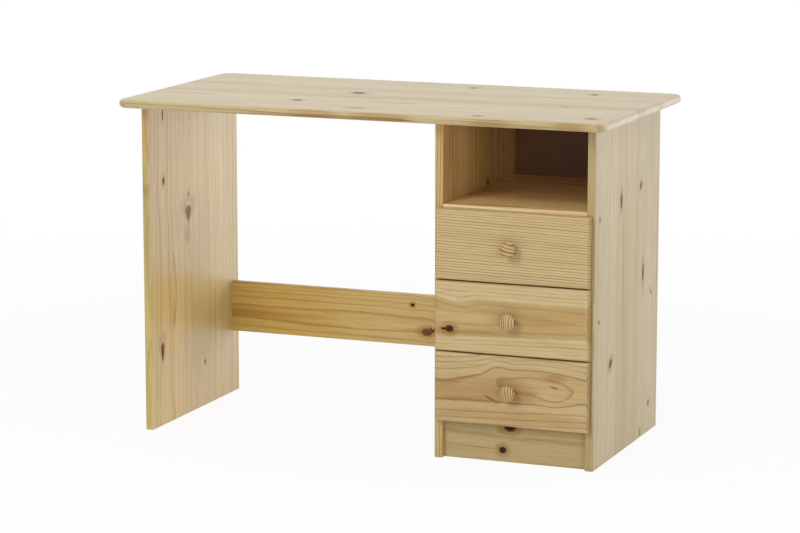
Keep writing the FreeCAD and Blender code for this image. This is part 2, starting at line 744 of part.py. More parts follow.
def cam_lock():
    """A cam lock: a drum bored from its left for the bolt's head, with a cross slot in its outer face."""
    radius = "cam_diameter / 2"
    drum = turn("cam_lock", [("0", "0"), (radius, "0"), (radius, "cam_height"), ("0", "cam_height")])
    channel = sketch_on(drum, "YZ_Plane", ("0", "bolt_depth", "bolt_head_length"))
    draw_circles(channel, "bolt_channel_diameter", [("0", "0")])
    cut(drum, channel, "cam_diameter", False)
    cut_cross(drum, "cam")
    return drum


def cam_bolt():
    """A cam bolt: a thread in the panel, a shank, a neck and a head that ends in the middle of the cam."""
    neck_z = "cam_distance - bolt_head_length / 2 - bolt_neck_length"
    head_z = "cam_distance - bolt_head_length / 2"
    end_z = "cam_distance + bolt_head_length / 2"
    corners = [
        ("0", "-bolt_thread_length"),
        ("bolt_thread_diameter / 2", "-bolt_thread_length"),
        ("bolt_thread_diameter / 2", "0"),
        ("bolt_diameter / 2", "0"),
        ("bolt_diameter / 2", neck_z),
        ("bolt_neck_diameter / 2", neck_z),
        ("bolt_neck_diameter / 2", head_z),
        ("bolt_diameter / 2", head_z),
        ("bolt_diameter / 2", end_z),
        ("0", end_z),
    ]
    return turn("cam_bolt", corners)


def make_cams():
    """The cam locks and bolts that draw the shelf, the bottom board and the stretcher tight."""
    rows = [(y, SHELF_BOLT_Z, "shelf_z") for y in SHELF_CAMS_Y]
    rows += [(y, BOTTOM_BOLT_Z, "plinth_height") for y in BOTTOM_CAMS_Y]
    locks, bolts = [], []
    for y, bolt_z, under in rows:
        place_y = f"front_y + {y}"
        locks.append((("bay_x + cam_distance", place_y, under), UP))
        locks.append((("right_panel_x - cam_distance", place_y, under), HALF_TURN))
        bolts.append((("bay_x", place_y, bolt_z), RIGHT))
        bolts.append((("right_panel_x", place_y, bolt_z), LEFT))
    behind = "front_y + stretcher_y + stretcher_thickness"
    bolt_y = "front_y + stretcher_bolt_y"
    locks.append((("kneehole_x + cam_distance", behind, STRETCHER_CAM_Z), FRONT))
    locks.append((("pedestal_x - cam_distance", behind, STRETCHER_CAM_Z), FRONT.multiply(HALF_TURN)))
    bolts.append((("kneehole_x", bolt_y, STRETCHER_CAM_Z), RIGHT))
    bolts.append((("pedestal_x", bolt_y, STRETCHER_CAM_Z), LEFT))
    scatter("cam_locks", cam_lock(), locks)
    scatter("cam_bolts", cam_bolt(), bolts)


def angle_bracket():
    """A bent steel bracket: one leg down a panel, one under the desktop, with a hole in each."""
    body = start_body("angle_bracket")
    profile = sketch_on(body, "XZ_Plane", ("0", "0", "-bracket_width / 2"))
    corners = [
        ("0", "0"),
        ("bracket_leg", "0"),
        ("bracket_leg", "-bracket_thickness"),
        ("bracket_thickness", "-bracket_thickness"),
        ("bracket_thickness", "-bracket_leg"),
        ("0", "-bracket_leg"),
    ]
    draw_outline(profile, corners)
    pad(body, profile, "bracket_width")
    inner_bend = {"X": "bracket_thickness", "Z": "-bracket_thickness"}
    dress(body, "Fillet", edges_at(body, [inner_bend]), "Radius", "bracket_bend_radius")
    for role, centre in (("YZ_Plane", ("0", f"-{BRACKET_SCREW}")), ("XY_Plane", (BRACKET_SCREW, "0"))):
        hole = sketch_on(body, role)
        draw_circles(hole, "screw_hole", [centre])
        cut(body, hole, "bracket_thickness", role == "YZ_Plane")
    return body


def make_brackets():
    """The brackets that hold the desktop down, out of sight under it, and their screws."""
    sides = (
        ("kneehole_x", "+", UP, LEFT),
        ("bay_x", "+", UP, LEFT),
        ("right_panel_x", "-", HALF_TURN, RIGHT),
    )
    brackets, screws = [], []
    for x, sign, turning, way in sides:
        for y in BRACKETS_Y:
            place_y = f"front_y + {y}"
            brackets.append(((x, place_y, "panel_height"), turning))
            in_panel = (f"{x} {sign} bracket_thickness", place_y, f"panel_height - {BRACKET_SCREW}")
            in_top = (f"{x} {sign} {BRACKET_SCREW}", place_y, "panel_height - bracket_thickness")
            screws += [(in_panel, way), (in_top, UP)]
    pan_head = headed_pin(
        "screw_head_diameter", "pan_head_height", "screw_diameter", "bracket_screw_length", "screw_tip_length"
    )
    screw = turn("pan_head_screw", pan_head)
    cut_cross(screw, "screw", "-pan_head_height")
    scatter("top_brackets", angle_bracket(), brackets)
    scatter("bracket_screws", screw, screws)


def make_runner_screws():
    screws = []
    for z in RUNNERS_Z:
        for y in RUNNER_SCREWS_Y:
            place = (f"front_y + runner_front_gap + {y}", f"{z} + runner_height / 2")
            screws.append((("bay_x + runner_thickness", *place), LEFT))
            screws.append((("right_panel_x - runner_thickness", *place), RIGHT))
    scatter("runner_screws", flat_screw("runner_screw", "runner_screw_length"), screws)


def make_back_nails():
    """The nails that hold the hardboard to the panels, the shelf and the bottom board."""
    nail = headed_pin(
        "nail_head_diameter", "nail_head_height", "nail_diameter", "nail_length", "nail_tip_length"
    )
    edges_x = ("bay_x - back_lap / 2", "right_panel_x + back_lap / 2")
    rows = [(x, f"plinth_height + {z}") for x in edges_x for z in PANEL_NAILS_Z]
    rows += [(f"bay_x + {x}", z) for x in SHELF_NAILS_X for z in (SHELF_MIDDLE_Z, BOTTOM_MIDDLE_Z)]
    places = [((x, "front_y + panel_depth", z), FRONT) for x, z in rows]
    scatter("back_panel_nails", turn("nail", nail), places)


class Drawer:
    """A drawer: a rounded front, two grooved sides, a back and a thin bottom, with a turned knob."""

    def __init__(self, name, count):
        self.name = f"{name}_drawer"
        self.front_z = f"fronts_z + pitch * {count}"
        self.box_z = f"{self.front_z} + box_rise"
        self.box_x = "bay_x + box_side_gap"
        self.joints_z = shared("box_height", BOX_JOINT_SHARES)
        self.inner_x = "panel_thickness + box_side_gap + side_thickness - front_reveal"

    def make_front(self):
        corner = ("pedestal_x + front_reveal", "knob_y", self.front_z)
        front = Board(f"{self.name}_front", corner, "front_width", "front_thickness", "front_height")
        front.round("front_edge_radius", {"Y": "0"})
        front.groove(
            "back",
            (f"{self.inner_x} - bottom_groove_depth", "box_rise + bottom_rise"),
            "box_inner_width + 2 * bottom_groove_depth",
            "bottom_groove_height",
            "bottom_groove_depth",
        )
        side_x = f"{self.inner_x} - side_thickness / 2"
        sides_x = (side_x, f"front_width - ({side_x})")
        dowels = [(x, f"box_rise + {z}") for x in sides_x for z in self.joints_z]
        front.drill("back", "drawer_dowel_hole", "drawer_dowel_in_face + hole_play", dowels)
        front.drill("front", "knob_screw_hole", "front_thickness", [("front_width / 2", "front_height / 2")])

    def make_side(self, hand, x, inner):
        """A side with a long groove outside for its runner and one inside for the bottom."""
        label = f"{self.name}_{hand}_side"
        corner = (x, "front_y - front_gap", self.box_z)
        side = Board(label, corner, "side_thickness", "side_length", "box_height")
        side.round("side_edge_radius", *({"X": edge, "Z": "box_height"} for edge in ("0", "side_thickness")))
        run = "side_length + 2 * overrun"
        runner_corner = ("-overrun", "runner_rise - runner_play")
        side.groove(hand, runner_corner, run, "runner_groove_height", "runner_groove_depth")
        side.groove(inner, ("-overrun", "bottom_rise"), run, "bottom_groove_height", "bottom_groove_depth")
        dowels = [("side_thickness / 2", z) for z in self.joints_z]
        side.drill("front", "drawer_dowel_hole", "drawer_dowel_in_end + hole_play", dowels)
        side.countersink(hand, [("side_length - drawer_back_thickness / 2", z) for z in self.joints_z])

    def make_back(self):
        corner = (
            f"{self.box_x} + side_thickness",
            "front_y + box_depth - drawer_back_thickness",
            f"{self.box_z} + drawer_back_rise",
        )
        size = ("box_inner_width", "drawer_back_thickness", "drawer_back_height")
        back = Board(f"{self.name}_back", corner, *size)
        screws = [("drawer_back_thickness / 2", f"{z} - drawer_back_rise") for z in self.joints_z]
        for end in ("left", "right"):
            back.drill(end, "screw_hole", "drawer_screw_length - side_thickness + hole_play", screws)

    def make_bottom(self):
        corner = (
            f"{self.box_x} + side_thickness - bottom_tongue",
            "front_y - front_gap - bottom_tongue",
            f"{self.box_z} + bottom_rise",
        )
        width = "box_inner_width + 2 * bottom_tongue"
        Board(f"{self.name}_bottom", corner, width, "side_length + bottom_tongue", "drawer_bottom_thickness")

    def make_knob(self):
        """The turned knob: a cove from its foot to its shoulder, a round rim and a domed face."""
        corners = [
            ("0", "0"),
            ("knob_foot_diameter / 2", "0"),
            ("knob_shoulder_diameter / 2", "knob_shoulder"),
            ("knob_face_diameter / 2", "knob_brow"),
            ("0", "knob_length"),
        ]
        arcs = {1: (-1, "knob_cove_radius"), 2: (1, "knob_rim_radius"), 3: (1, "knob_face_radius")}
        middle_z = f"{self.front_z} + front_height / 2"
        knob = turn(f"{self.name}_knob", corners, arcs, ("knob_x", "knob_y", middle_z), FRONT)
        bore = sketch_on(knob, "XY_Plane")
        draw_circles(bore, "knob_screw_hole", [("0", "0")])
        cut(knob, bore, "knob_bore_depth", True)
        pin = headed_pin(
            "knob_screw_head_diameter",
            "knob_screw_head_height",
            "knob_screw_diameter",
            "(front_thickness + knob_screw_grip)",
            "knob_screw_tip_length",
        )
        place = ("knob_x", "front_y - front_gap", middle_z)
        screw = turn(f"{self.name}_knob_screw", pin, place=place, turning=FRONT)
        cut_cross(screw, "knob_screw", "-knob_screw_head_height")
        NODES.extend([knob, screw])

    def make_fasteners(self, peg, screw):
        """The dowels into the front, and the screws through the sides into the back."""
        sides_x = (f"{self.box_x} + side_thickness / 2", f"{self.box_x} + box_width - side_thickness / 2")
        heights = [f"{self.box_z} + {z}" for z in self.joints_z]
        dowels = [((x, "front_y - front_gap", z), BACK) for x in sides_x for z in heights]
        scatter(f"{self.name}_dowels", peg, dowels)
        screw_y = "front_y + box_depth - drawer_back_thickness / 2"
        heads = ((self.box_x, RIGHT), (f"{self.box_x} + box_width", LEFT))
        scatter(f"{self.name}_screws", screw, [((x, screw_y, z), way) for x, way in heads for z in heights])


def make_drawers():
    peg = dowel("drawer_dowel", "drawer_dowel_diameter", "drawer_dowel_in_face", "drawer_dowel_in_end")
    screw = flat_screw("drawer_screw", "drawer_screw_length")
    for count, name in enumerate(DRAWERS):
        drawer = Drawer(name, count)
        drawer.make_front()
        drawer.make_side("left", drawer.box_x, "right")
        drawer.make_side("right", f"{drawer.box_x} + box_width - side_thickness", "left")
        drawer.make_back()
        drawer.make_bottom()
        drawer.make_knob()
        drawer.make_fasteners(peg, screw)


def write_parts():
    """Check every object, then write each piece to a file that has its name."""
    doc.recompute()
    failed = [item.Label for item in doc.Objects if {"Invalid", "Error"} & set(item.State)]
    faulty = [node.Label for node in NODES if node.Shape.isNull() or not node.Shape.isValid()]
    if failed or faulty:
        raise RuntimeError(f"failed: {failed}, faulty: {faulty}")
    os.makedirs("parts", exist_ok=True)
    for node in NODES:
        node.Shape.exportStep(f"parts/{node.Label}.step")


make_desktop()
make_panels()
make_stretcher()
make_shelf("shelf", "shelf_z", "shelf_setback", "shelf_depth", "shelf_thickness")
make_shelf("pedestal_bottom", "plinth_height", "bottom_setback", "bottom_depth", "bottom_thickness")
make_plinth()
make_back_panel()
make_runners()
make_carcass_dowels()
make_cams()
make_brackets()
make_runner_screws()
make_back_nails()
make_drawers()
write_parts()
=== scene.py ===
import math
from dataclasses import dataclass, replace

import bmesh
import bpy
from bpy.props import FloatProperty, FloatVectorProperty, PointerProperty
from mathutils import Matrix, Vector


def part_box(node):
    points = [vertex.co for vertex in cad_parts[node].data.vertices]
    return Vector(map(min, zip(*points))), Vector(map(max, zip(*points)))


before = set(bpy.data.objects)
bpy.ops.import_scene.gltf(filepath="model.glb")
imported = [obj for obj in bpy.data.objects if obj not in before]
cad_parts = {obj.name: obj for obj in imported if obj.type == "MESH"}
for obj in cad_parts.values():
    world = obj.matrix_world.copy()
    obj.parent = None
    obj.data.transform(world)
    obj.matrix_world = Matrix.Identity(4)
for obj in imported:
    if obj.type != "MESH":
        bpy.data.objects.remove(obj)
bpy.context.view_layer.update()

bl_info = {
    "name": "Pine Kneehole Desk",
    "version": (1, 0, 0),
    "blender": (4, 5, 0),
    "location": "View3D > Sidebar > Desk",
    "description": "Finishes a kneehole desk in pine, with its fittings, and stands it in a white studio",
    "category": "Object",
}

DRAWERS = ("bottom", "middle", "top")


class PineSettings(bpy.types.PropertyGroup):
    """The colours and the lacquer of the pine."""

    spring_wood: FloatVectorProperty(
        name="Spring wood",
        description="The pale wood that grows first in a year",
        subtype="COLOR",
        default=(0.7, 0.55, 0.3),
    )
    summer_wood: FloatVectorProperty(
        name="Summer wood",
        description="The darker line that ends a year",
        subtype="COLOR",
        default=(0.38, 0.19, 0.055),
    )
    heart_wood: FloatVectorProperty(
        name="Heart wood",
        description="The tint of the old wood round the pith",
        subtype="COLOR",
        default=(0.82, 0.7, 0.54),
    )
    knot: FloatVectorProperty(
        name="Knot",
        description="The wood of a knot",
        subtype="COLOR",
        default=(0.17, 0.07, 0.022),
    )
    bark: FloatVectorProperty(
        name="Bark",
        description="The dark ring round a knot",
        subtype="COLOR",
        default=(0.022, 0.009, 0.004),
    )
    roughness: FloatProperty(
        name="Roughness",
        description="How dull the satin lacquer is",
        subtype="FACTOR",
        default=0.36,
        min=0,
        max=1,
    )


class FittingSettings(bpy.types.PropertyGroup):
    """The colours of what isn't pine."""

    beech: FloatVectorProperty(
        name="Beech",
        description="Runners and dowels",
        subtype="COLOR",
        default=(0.52, 0.31, 0.16),
    )
    brown_hardboard: FloatVectorProperty(
        name="Brown hardboard",
        description="The back of the pedestal",
        subtype="COLOR",
        default=(0.21, 0.098, 0.043),
    )
    pale_hardboard: FloatVectorProperty(
        name="Pale hardboard",
        description="The bottoms of the drawers",
        subtype="COLOR",
        default=(0.42, 0.27, 0.13),
    )
    steel: FloatVectorProperty(
        name="Plated steel",
        description="Screws, nails, bolts and brackets",
        subtype="COLOR",
        default=(0.62, 0.61, 0.57),
    )
    zinc: FloatVectorProperty(
        name="Zinc",
        description="Cam locks",
        subtype="COLOR",
        default=(0.5, 0.51, 0.53),
    )


class StudioSettings(bpy.types.PropertyGroup):
    """The floor, the lamps and the camera."""

    floor: FloatVectorProperty(
        name="Floor",
        description="The colour of the floor",
        subtype="COLOR",
        default=(0.9, 0.9, 0.9),
    )
    sky: FloatProperty(
        name="Sky",
        description="How much light comes from all round",
        default=0.4,
        min=0,
    )
    lamps: FloatProperty(
        name="Lamps",
        description="How strong the lamps are, beside what they were set to",
        default=1.0,
        min=0,
    )
    lens: FloatProperty(
        name="Lens",
        description="Focal length of the camera",
        unit="CAMERA",
        default=133.79,
    )
    eye: FloatVectorProperty(
        name="Eye",
        description="Where the camera stands",
        subtype="TRANSLATION",
        unit="LENGTH",
        default=(2.3493, -5.9105, 1.5128),
    )
    tilt: FloatProperty(
        name="Tilt",
        description="How far the camera looks down",
        subtype="ANGLE",
        default=math.radians(10.286),
    )
    turn: FloatProperty(
        name="Turn",
        description="How far the camera is turned to the left",
        subtype="ANGLE",
        default=math.radians(21.71),
    )


@dataclass(frozen=True)
class Spot:
    """A place on a board, along and across the grain, and its half sizes the same two ways."""

    along: float
    across: float
    length: float
    width: float


@dataclass(frozen=True)
class Knot(Spot):
    """A knot: how dark it is, how it leans, how it comes to a point and how clear the ring round it is."""

    dark: float
    lean: float = 0.0
    point: float = 0.0
    eye: float = 0.35


@dataclass(frozen=True)
class Swell(Spot):
    """A place where the trunk swelled or sank by a height, so that the rings run in loops round it."""

    height: float
    lean: float = 0.0


@dataclass(frozen=True)
class StainAndPaintedLight(Spot):
    """A soft patch of staining, or of painted light or shade: its tint, brown if none is given, and how much
    shows.
    """

    share: float
    lean: float = 0.0
    tint: tuple = (0.74, 0.56, 0.38)


@dataclass(frozen=True)
class Cut:
    """How a board was cut from the trunk, tinted and lacquered, what lies in its wood and what light and
    shade are painted on it.
    """

    # The desk's axes along, across and through the grain, and what the board's own noise starts from
    axes: str
    seed: float
    # A year: its width, its start, its pale part and how strong its line is, and how strong the streaks are
    ring: float = 0.0045
    phase: float = 0.0
    spring: float = 0.4
    contrast: float = 0.5
    streak: float = 0.55
    # The width of the glued staves and the place of one of their joints, or no width for a board in one piece
    stave: float = 0.0
    joint: float = 0.0
    # Where the pith of a board in one piece lies, across and through it from its middle, and how a pith leans
    pith: tuple = (0.0, 0.09)
    lean: float = 0.0
    # How the rings widen along the board, how far they wander and how much they ripple
    taper: float = 0.004
    drift: float = 0.012
    wave: float = 0.0014
    # The radius of the heart wood and how much it shows
    heart: float = 0.06
    heart_share: float = 0.4
    # The tints of the board, its edges, its ends and its knots, and how squarely an edge faces where its own
    # tint starts and where it is full
    tint: tuple = (1.0, 1.0, 1.0)
    edge_tint: tuple = (0.78, 0.77, 0.7)
    edge_ramp: tuple = (0.3, 0.95)
    end_tint: tuple = (0.9, 0.85, 0.76)
    knot_tint: tuple = (1.0, 1.0, 1.0)
    # The shine of the wood, the weight of a thick lacquer on it and how far the rings are turned about it
    gloss: float = 0.3
    coat: float = 0.0
    roll: float = 0.0
    knots: tuple = ()
    swells: tuple = ()
    stains_and_painted_light: tuple = ()


class Wire:
    """A socket of a node tree, so that sums on values read as Python and add Math nodes."""

    def __init__(self, nodes, socket):
        self.nodes = nodes
        self.socket = socket

    def __add__(self, other):
        return self.nodes.math("ADD", self, other)

    def __sub__(self, other):
        return self.nodes.math("SUBTRACT", self, other)

    def __rsub__(self, other):
        return self.nodes.math("SUBTRACT", other, self)

    def __mul__(self, other):
        return self.nodes.math("MULTIPLY", self, other)

    def __truediv__(self, other):
        return self.nodes.math("DIVIDE", self, other)

    def __abs__(self):
        return self.nodes.math("ABSOLUTE", self)

    __radd__ = __add__

    def squared(self):
        return self * self

    def root(self):
        return self.nodes.math("SQRT", self)

    def floor(self):
        return self.nodes.math("FLOOR", self)

    def fraction(self):
        return self.nodes.math("FRACT", self)

    def above(self, limit):
        return self.nodes.math("GREATER_THAN", self, limit)

    def least(self, other):
        return self.nodes.math("MINIMUM", self, other)

    def most(self, other):
        return self.nodes.math("MAXIMUM", self, other)

    def ramp(self, low, high, start=0.0, stop=1.0):
        """Go smoothly from start to stop between two values."""
        sockets = dict(enumerate((self, low, high, start, stop)))
        return self.nodes.node("ShaderNodeMapRange", {"interpolation_type": "SMOOTHSTEP"}, sockets)

    def hump(self, rise, fall, height=1.0):
        """Rise smoothly between two values, and fall again between two more."""
        return self.ramp(*rise) * self.ramp(*fall, height, 0.0)


def opaque(colour):
    return (*colour, 1.0)


class Nodes:
    """A node tree, emptied to be put together anew."""

    # The sockets of a Mix node that are for colours: the share, the two colours and what comes out
    MIX_SHARE, MIX_UNDER, MIX_OVER, MIX_OUT = 0, 6, 7, 2

    def __init__(self, tree):
        self.tree = tree
        self.tree.nodes.clear()

    def node(self, kind, settings, sockets, output=0):
        """Add a node: its settings first, then the values or links of its sockets."""
        node = self.tree.nodes.new(kind)
        for name, value in settings.items():
            setattr(node, name, value)
        for name, value in sockets.items():
            if isinstance(value, Wire):
                self.tree.links.new(value.socket, node.inputs[name])
            else:
                node.inputs[name].default_value = value
        return Wire(self, node.outputs[output]) if node.outputs else None

    def math(self, operation, *values):
        return self.node("ShaderNodeMath", {"operation": operation}, dict(enumerate(values)))

    def vector(self, operation, *values, output="Vector"):
        return self.node("ShaderNodeVectorMath", {"operation": operation}, dict(enumerate(values)), output)

    def length(self, vector):
        return self.vector("LENGTH", vector, output="Value")

    def mix(self, share, under, over, how="MIX"):
        """Lay one colour over another."""
        settings = {"data_type": "RGBA", "blend_type": how}
        sockets = {self.MIX_SHARE: share, self.MIX_UNDER: under, self.MIX_OVER: over}
        return self.node("ShaderNodeMix", settings, sockets, self.MIX_OUT)

    def tint(self, share, colour, tint):
        """Multiply a colour by a share of a tint."""
        return self.mix(share, colour, opaque(tint), "MULTIPLY")

    def split(self, vector):
        outputs = self.node("ShaderNodeSeparateXYZ", {}, {0: vector}).socket.node.outputs
        return [Wire(self, output) for output in outputs]

    def join(self, *parts):
        return self.node("ShaderNodeCombineXYZ", {}, dict(enumerate(parts)))

    def place(self):
        """Where a point is in the desk's own frame."""
        return self.node("ShaderNodeTexCoord", {}, {}, "Object")

    def facing(self, axis):
        """How squarely a surface faces along an axis, either way."""
        normal = self.node("ShaderNodeNewGeometry", {}, {}, "Normal")
        way = tuple(float(name == axis) for name in "xyz")
        return abs(self.vector("DOT_PRODUCT", normal, way, output="Value"))

    def noise(self, place, scale, detail):
        return self.node("ShaderNodeTexNoise", {}, {"Vector": place, "Scale": scale, "Detail": detail})

    def draws(self, index):
        """Three even draws for a whole number."""
        settings = {"noise_dimensions": "1D"}
        return self.split(self.node("ShaderNodeTexWhiteNoise", settings, {"W": index}, "Color"))

    def seen(self):
        """1 for a ray from the camera, a reflection or glass, and 0 for one that carries light."""
        paths = self.node("ShaderNodeLightPath", {}, {}).socket.node.outputs
        names = ("Is Camera Ray", "Is Glossy Ray", "Is Transmission Ray")
        camera, glossy, clear = (Wire(self, paths[name]) for name in names)
        return camera.most(glossy).most(clear)


class Finish(Nodes):
    """A material that is put together from nodes."""

    def __init__(self, name):
        self.material = bpy.data.materials.new(name)
        self.material.use_nodes = True
        super().__init__(self.material.node_tree)

    def surface(self, height, depth, sockets):
        """Close the material with its shader, raised by a height."""
        bump = self.node("ShaderNodeBump", {}, {"Strength": 1.0, "Distance": depth, "Height": height})
        shader = self.node("ShaderNodeBsdfPrincipled", {}, {**sockets, "Normal": bump})
        self.node("ShaderNodeOutputMaterial", {}, {"Surface": shader})
        return self.material


class Pine(Finish):
    """Knotty pine under a satin lacquer, cut from trunks whose rings run on through the board."""

    # How fine each noise is along and across the grain, in waves to the metre
    DRIFT_WAVES = (1.4, 6)
    RIPPLE_WAVES = (11, 55)
    BAND_WAVES = (2.2, 90)
    LINE_WAVES = (14, 520)
    FIBRE_WAVES = (45, 1500)
    RAGGED_WAVES = (160, 420)
    CRESCENT_WAVES = (90, 90)
    # The depth of a spot, so much more than a board's that it goes right through
    SPOT_DEPTH = 1000.0
    # How a patch of staining, painted light or painted shade fades from its middle outwards, in its own half
    # sizes
    STAIN_AND_LIGHT_FADE = (0.3, 1.1)
    # How ragged a knot is, how narrow its point can be and how softly the grain closes round it
    RAGGED = 0.5
    NARROWEST = 0.2
    CLOSING = 0.4
    # A knot from its middle outwards, in its own half sizes: its pith, its wood, its bark, its shade, its eye
    KNOT_PITH = (0.1, 0.35, 0.8, 0.0)
    KNOT_WOOD = (0.75, 1.1)
    KNOT_BARK = ((0.62, 0.95), (1.0, 1.18))
    KNOT_SHADE = (0.9, 2.6)
    KNOT_EYE = ((1.3, 1.6), (1.6, 2.0))
    # The years of a knot in its half size, and how each darkens
    KNOT_YEARS = 3.2
    KNOT_YEAR = (0.45, 1.0, 0.0, 0.45)
    # How bark and eye come and go round a knot
    CRESCENT = (0.42, 0.58, 0.25, 1.0)
    # A knot darker than this is dead, and black from its middle outwards
    DEAD = 0.9
    DEAD_WOOD = (0.5, 1.0, 0.9, 0.0)
    # Where a stave's pith may lie: how widely across it, how near to its middle and how much deeper
    PITH_SPREAD = 0.16
    PITH_NEAR = 0.025
    PITH_DEPTH = 0.1
    # What tells the draw of a stave's tone from the draws of its pith
    TONE_DRAW = 3
    # How far from a stave's edge the glue starts to show, and where it is full
    GLUE_START = 0.0009
    GLUE_FULL = 0.0002
    # The tone of a board in one piece, beside the staves' tones from 0 to 1
    PLAIN_TONE = 0.3
    # How softly the heart wood ends, as a share of its radius
    HEART_EDGE = 0.05
    # How often along the radius the years widen and narrow, by how many years, and how faint one can be
    YEAR_WAVES = 45.0
    YEAR_DRIFT = 1.2
    FAINTEST_YEAR = 0.4
    # When in a year the summer wood is darkest, and when it ends
    SUMMER = 0.92
    WINTER = (0.93, 1.0)
    # How bands and fibres show out of their noise, and how strong lines, fibres, glue and shade are
    BAND = (0.35, 0.7)
    FIBRE = (0.4, 0.75)
    LINE_SHARE = 0.8
    FIBRE_SHARE = 0.5
    GLUE_SHARE = 0.5
    SHADE_SHARE = 0.7
    # How squarely an end faces where its tint starts, and where it is full
    END = (0.5, 0.98)
    # The tints of a dark stave, a band, a line or a fibre, the glue, and a knot's shade and eye
    STAVE_TINT = (0.93, 0.9, 0.86)
    BAND_TINT = (0.9, 0.84, 0.74)
    FIBRE_TINT = (0.86, 0.8, 0.7)
    GLUE_TINT = (0.6, 0.5, 0.38)
    SHADE_TINT = (0.72, 0.55, 0.38)
    EYE_TINT = (0.62, 0.46, 0.3)
    # What fibres, ends and knots add to the lacquer's roughness, and what the summer wood takes from it
    ROUGH_FIBRE = 0.1
    ROUGH_END = 0.14
    ROUGH_KNOT = 0.5
    SMOOTH_SUMMER = 0.05
    # How far the fibres and the summer wood stand up, as shares of a depth in metres
    HIGH_FIBRE = 0.6
    HIGH_SUMMER = 0.4
    DEPTH = 0.0001
    # A thick coat of lacquer, which leaves the knots bare
    COAT_IOR = 1.7
    COAT_ROUGHNESS = 0.4

    def __init__(self, name, node, cut):
        super().__init__(name)
        self.cut = cut
        self.tones = bpy.context.scene.desk_pine
        low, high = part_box(node)
        places = self.split(self.place())
        axes = ["xyz".index(axis) for axis in cut.axes]
        self.along, self.across, self.through = (places[axis] for axis in axes)
        self.middle = [(low[axis] + high[axis]) / 2 for axis in axes]
        if cut.roll:
            self.roll_grain()
        self.grain = self.join(self.along, self.across, self.through)
        # What knots do to the board, if it has any
        self.bend = self.core = self.black = self.shade = self.eye = 0.0

    def roll_grain(self):
        """Turn the rings about the board's own line."""
        cosine, sine = math.cos(self.cut.roll), math.sin(self.cut.roll)
        across, through = self.across - self.middle[1], self.through - self.middle[2]
        self.across = across * cosine + through * sine + self.middle[1]
        self.through = through * cosine - across * sine + self.middle[2]

    def streaks(self, waves, detail=2.0):
        """Noise drawn out along the grain, from 0 to 1."""
        along, across = waves
        seed = (self.cut.seed,) * 3
        return self.noise(self.vector("MULTIPLY_ADD", self.grain, (along, across, across), seed), 1.0, detail)

    def local(self, spot):
        """Places round a spot, in its own half sizes."""
        sockets = {
            "Vector": self.grain,
            "Location": (spot.along, spot.across, 0),
            "Rotation": (0, 0, spot.lean),
            "Scale": (spot.length, spot.width, self.SPOT_DEPTH),
        }
        return self.node("ShaderNodeMapping", {"vector_type": "TEXTURE"}, sockets)

    def reach(self, knot, ragged):
        """How far a point lies from a knot's middle, in the knot's own half sizes."""
        local = self.local(knot)
        if knot.point:
            along, across, _ = self.split(local)
            across = across / (1 + along * knot.point).most(self.NARROWEST)
            return (along.squared() + across.squared()).root() + ragged
        return self.length(local) + ragged

    def grow_knots(self):
        """Work out how the knots push the grain aside, and where their wood, black, shade and eye lie."""
        ragged = (self.streaks(self.RAGGED_WAVES) - 0.5) * self.RAGGED
        nearest = None
        for knot in self.cut.knots:
            reach = self.reach(knot, ragged)
            self.bend = (self.across - knot.across) / (reach.squared() + self.CLOSING) + self.bend
            self.core = reach.ramp(*self.KNOT_WOOD, knot.dark, 0.0).most(self.core)
            self.shade = reach.ramp(*self.KNOT_SHADE, knot.dark, 0.0).most(self.shade)
            if knot.dark > self.DEAD:
                self.black = reach.ramp(*self.DEAD_WOOD).most(self.black)
            if knot.eye:
                self.eye = reach.hump(*self.KNOT_EYE, knot.eye).most(self.eye)
            nearest = nearest.least(reach) if nearest else reach
        crescent = self.streaks(self.CRESCENT_WAVES, detail=0.0).ramp(*self.CRESCENT)
        bark = nearest.hump(*self.KNOT_BARK) * crescent
        years = (nearest * self.KNOT_YEARS).fraction().ramp(*self.KNOT_YEAR)
        pith = nearest.ramp(*self.KNOT_PITH)
        self.black = bark.most(years).most(pith).most(self.black)
        self.eye = crescent * self.eye

    def find_pith(self):
        """Find the middle of the rings, across and through the board, and the tone and glue of the staves."""
        cut = self.cut
        if not cut.stave:
            self.tone = self.PLAIN_TONE
            return self.middle[1] + cut.pith[0], self.middle[2] + cut.pith[1]
        index = ((self.across - cut.joint) / cut.stave).floor()
        middle = (index + 0.5) * cut.stave + cut.joint
        first, second, third = self.draws(index + cut.seed)
        side = third.above(0.5) * 2 - 1
        self.tone = self.draws(index + cut.seed * self.TONE_DRAW)[0]
        edge = cut.stave / 2
        self.glue = abs(self.across - middle).ramp(edge - self.GLUE_START, edge - self.GLUE_FULL)
        depth = side * (second * self.PITH_DEPTH + self.PITH_NEAR)
        return middle + (first - 0.5) * self.PITH_SPREAD, depth + self.middle[2]

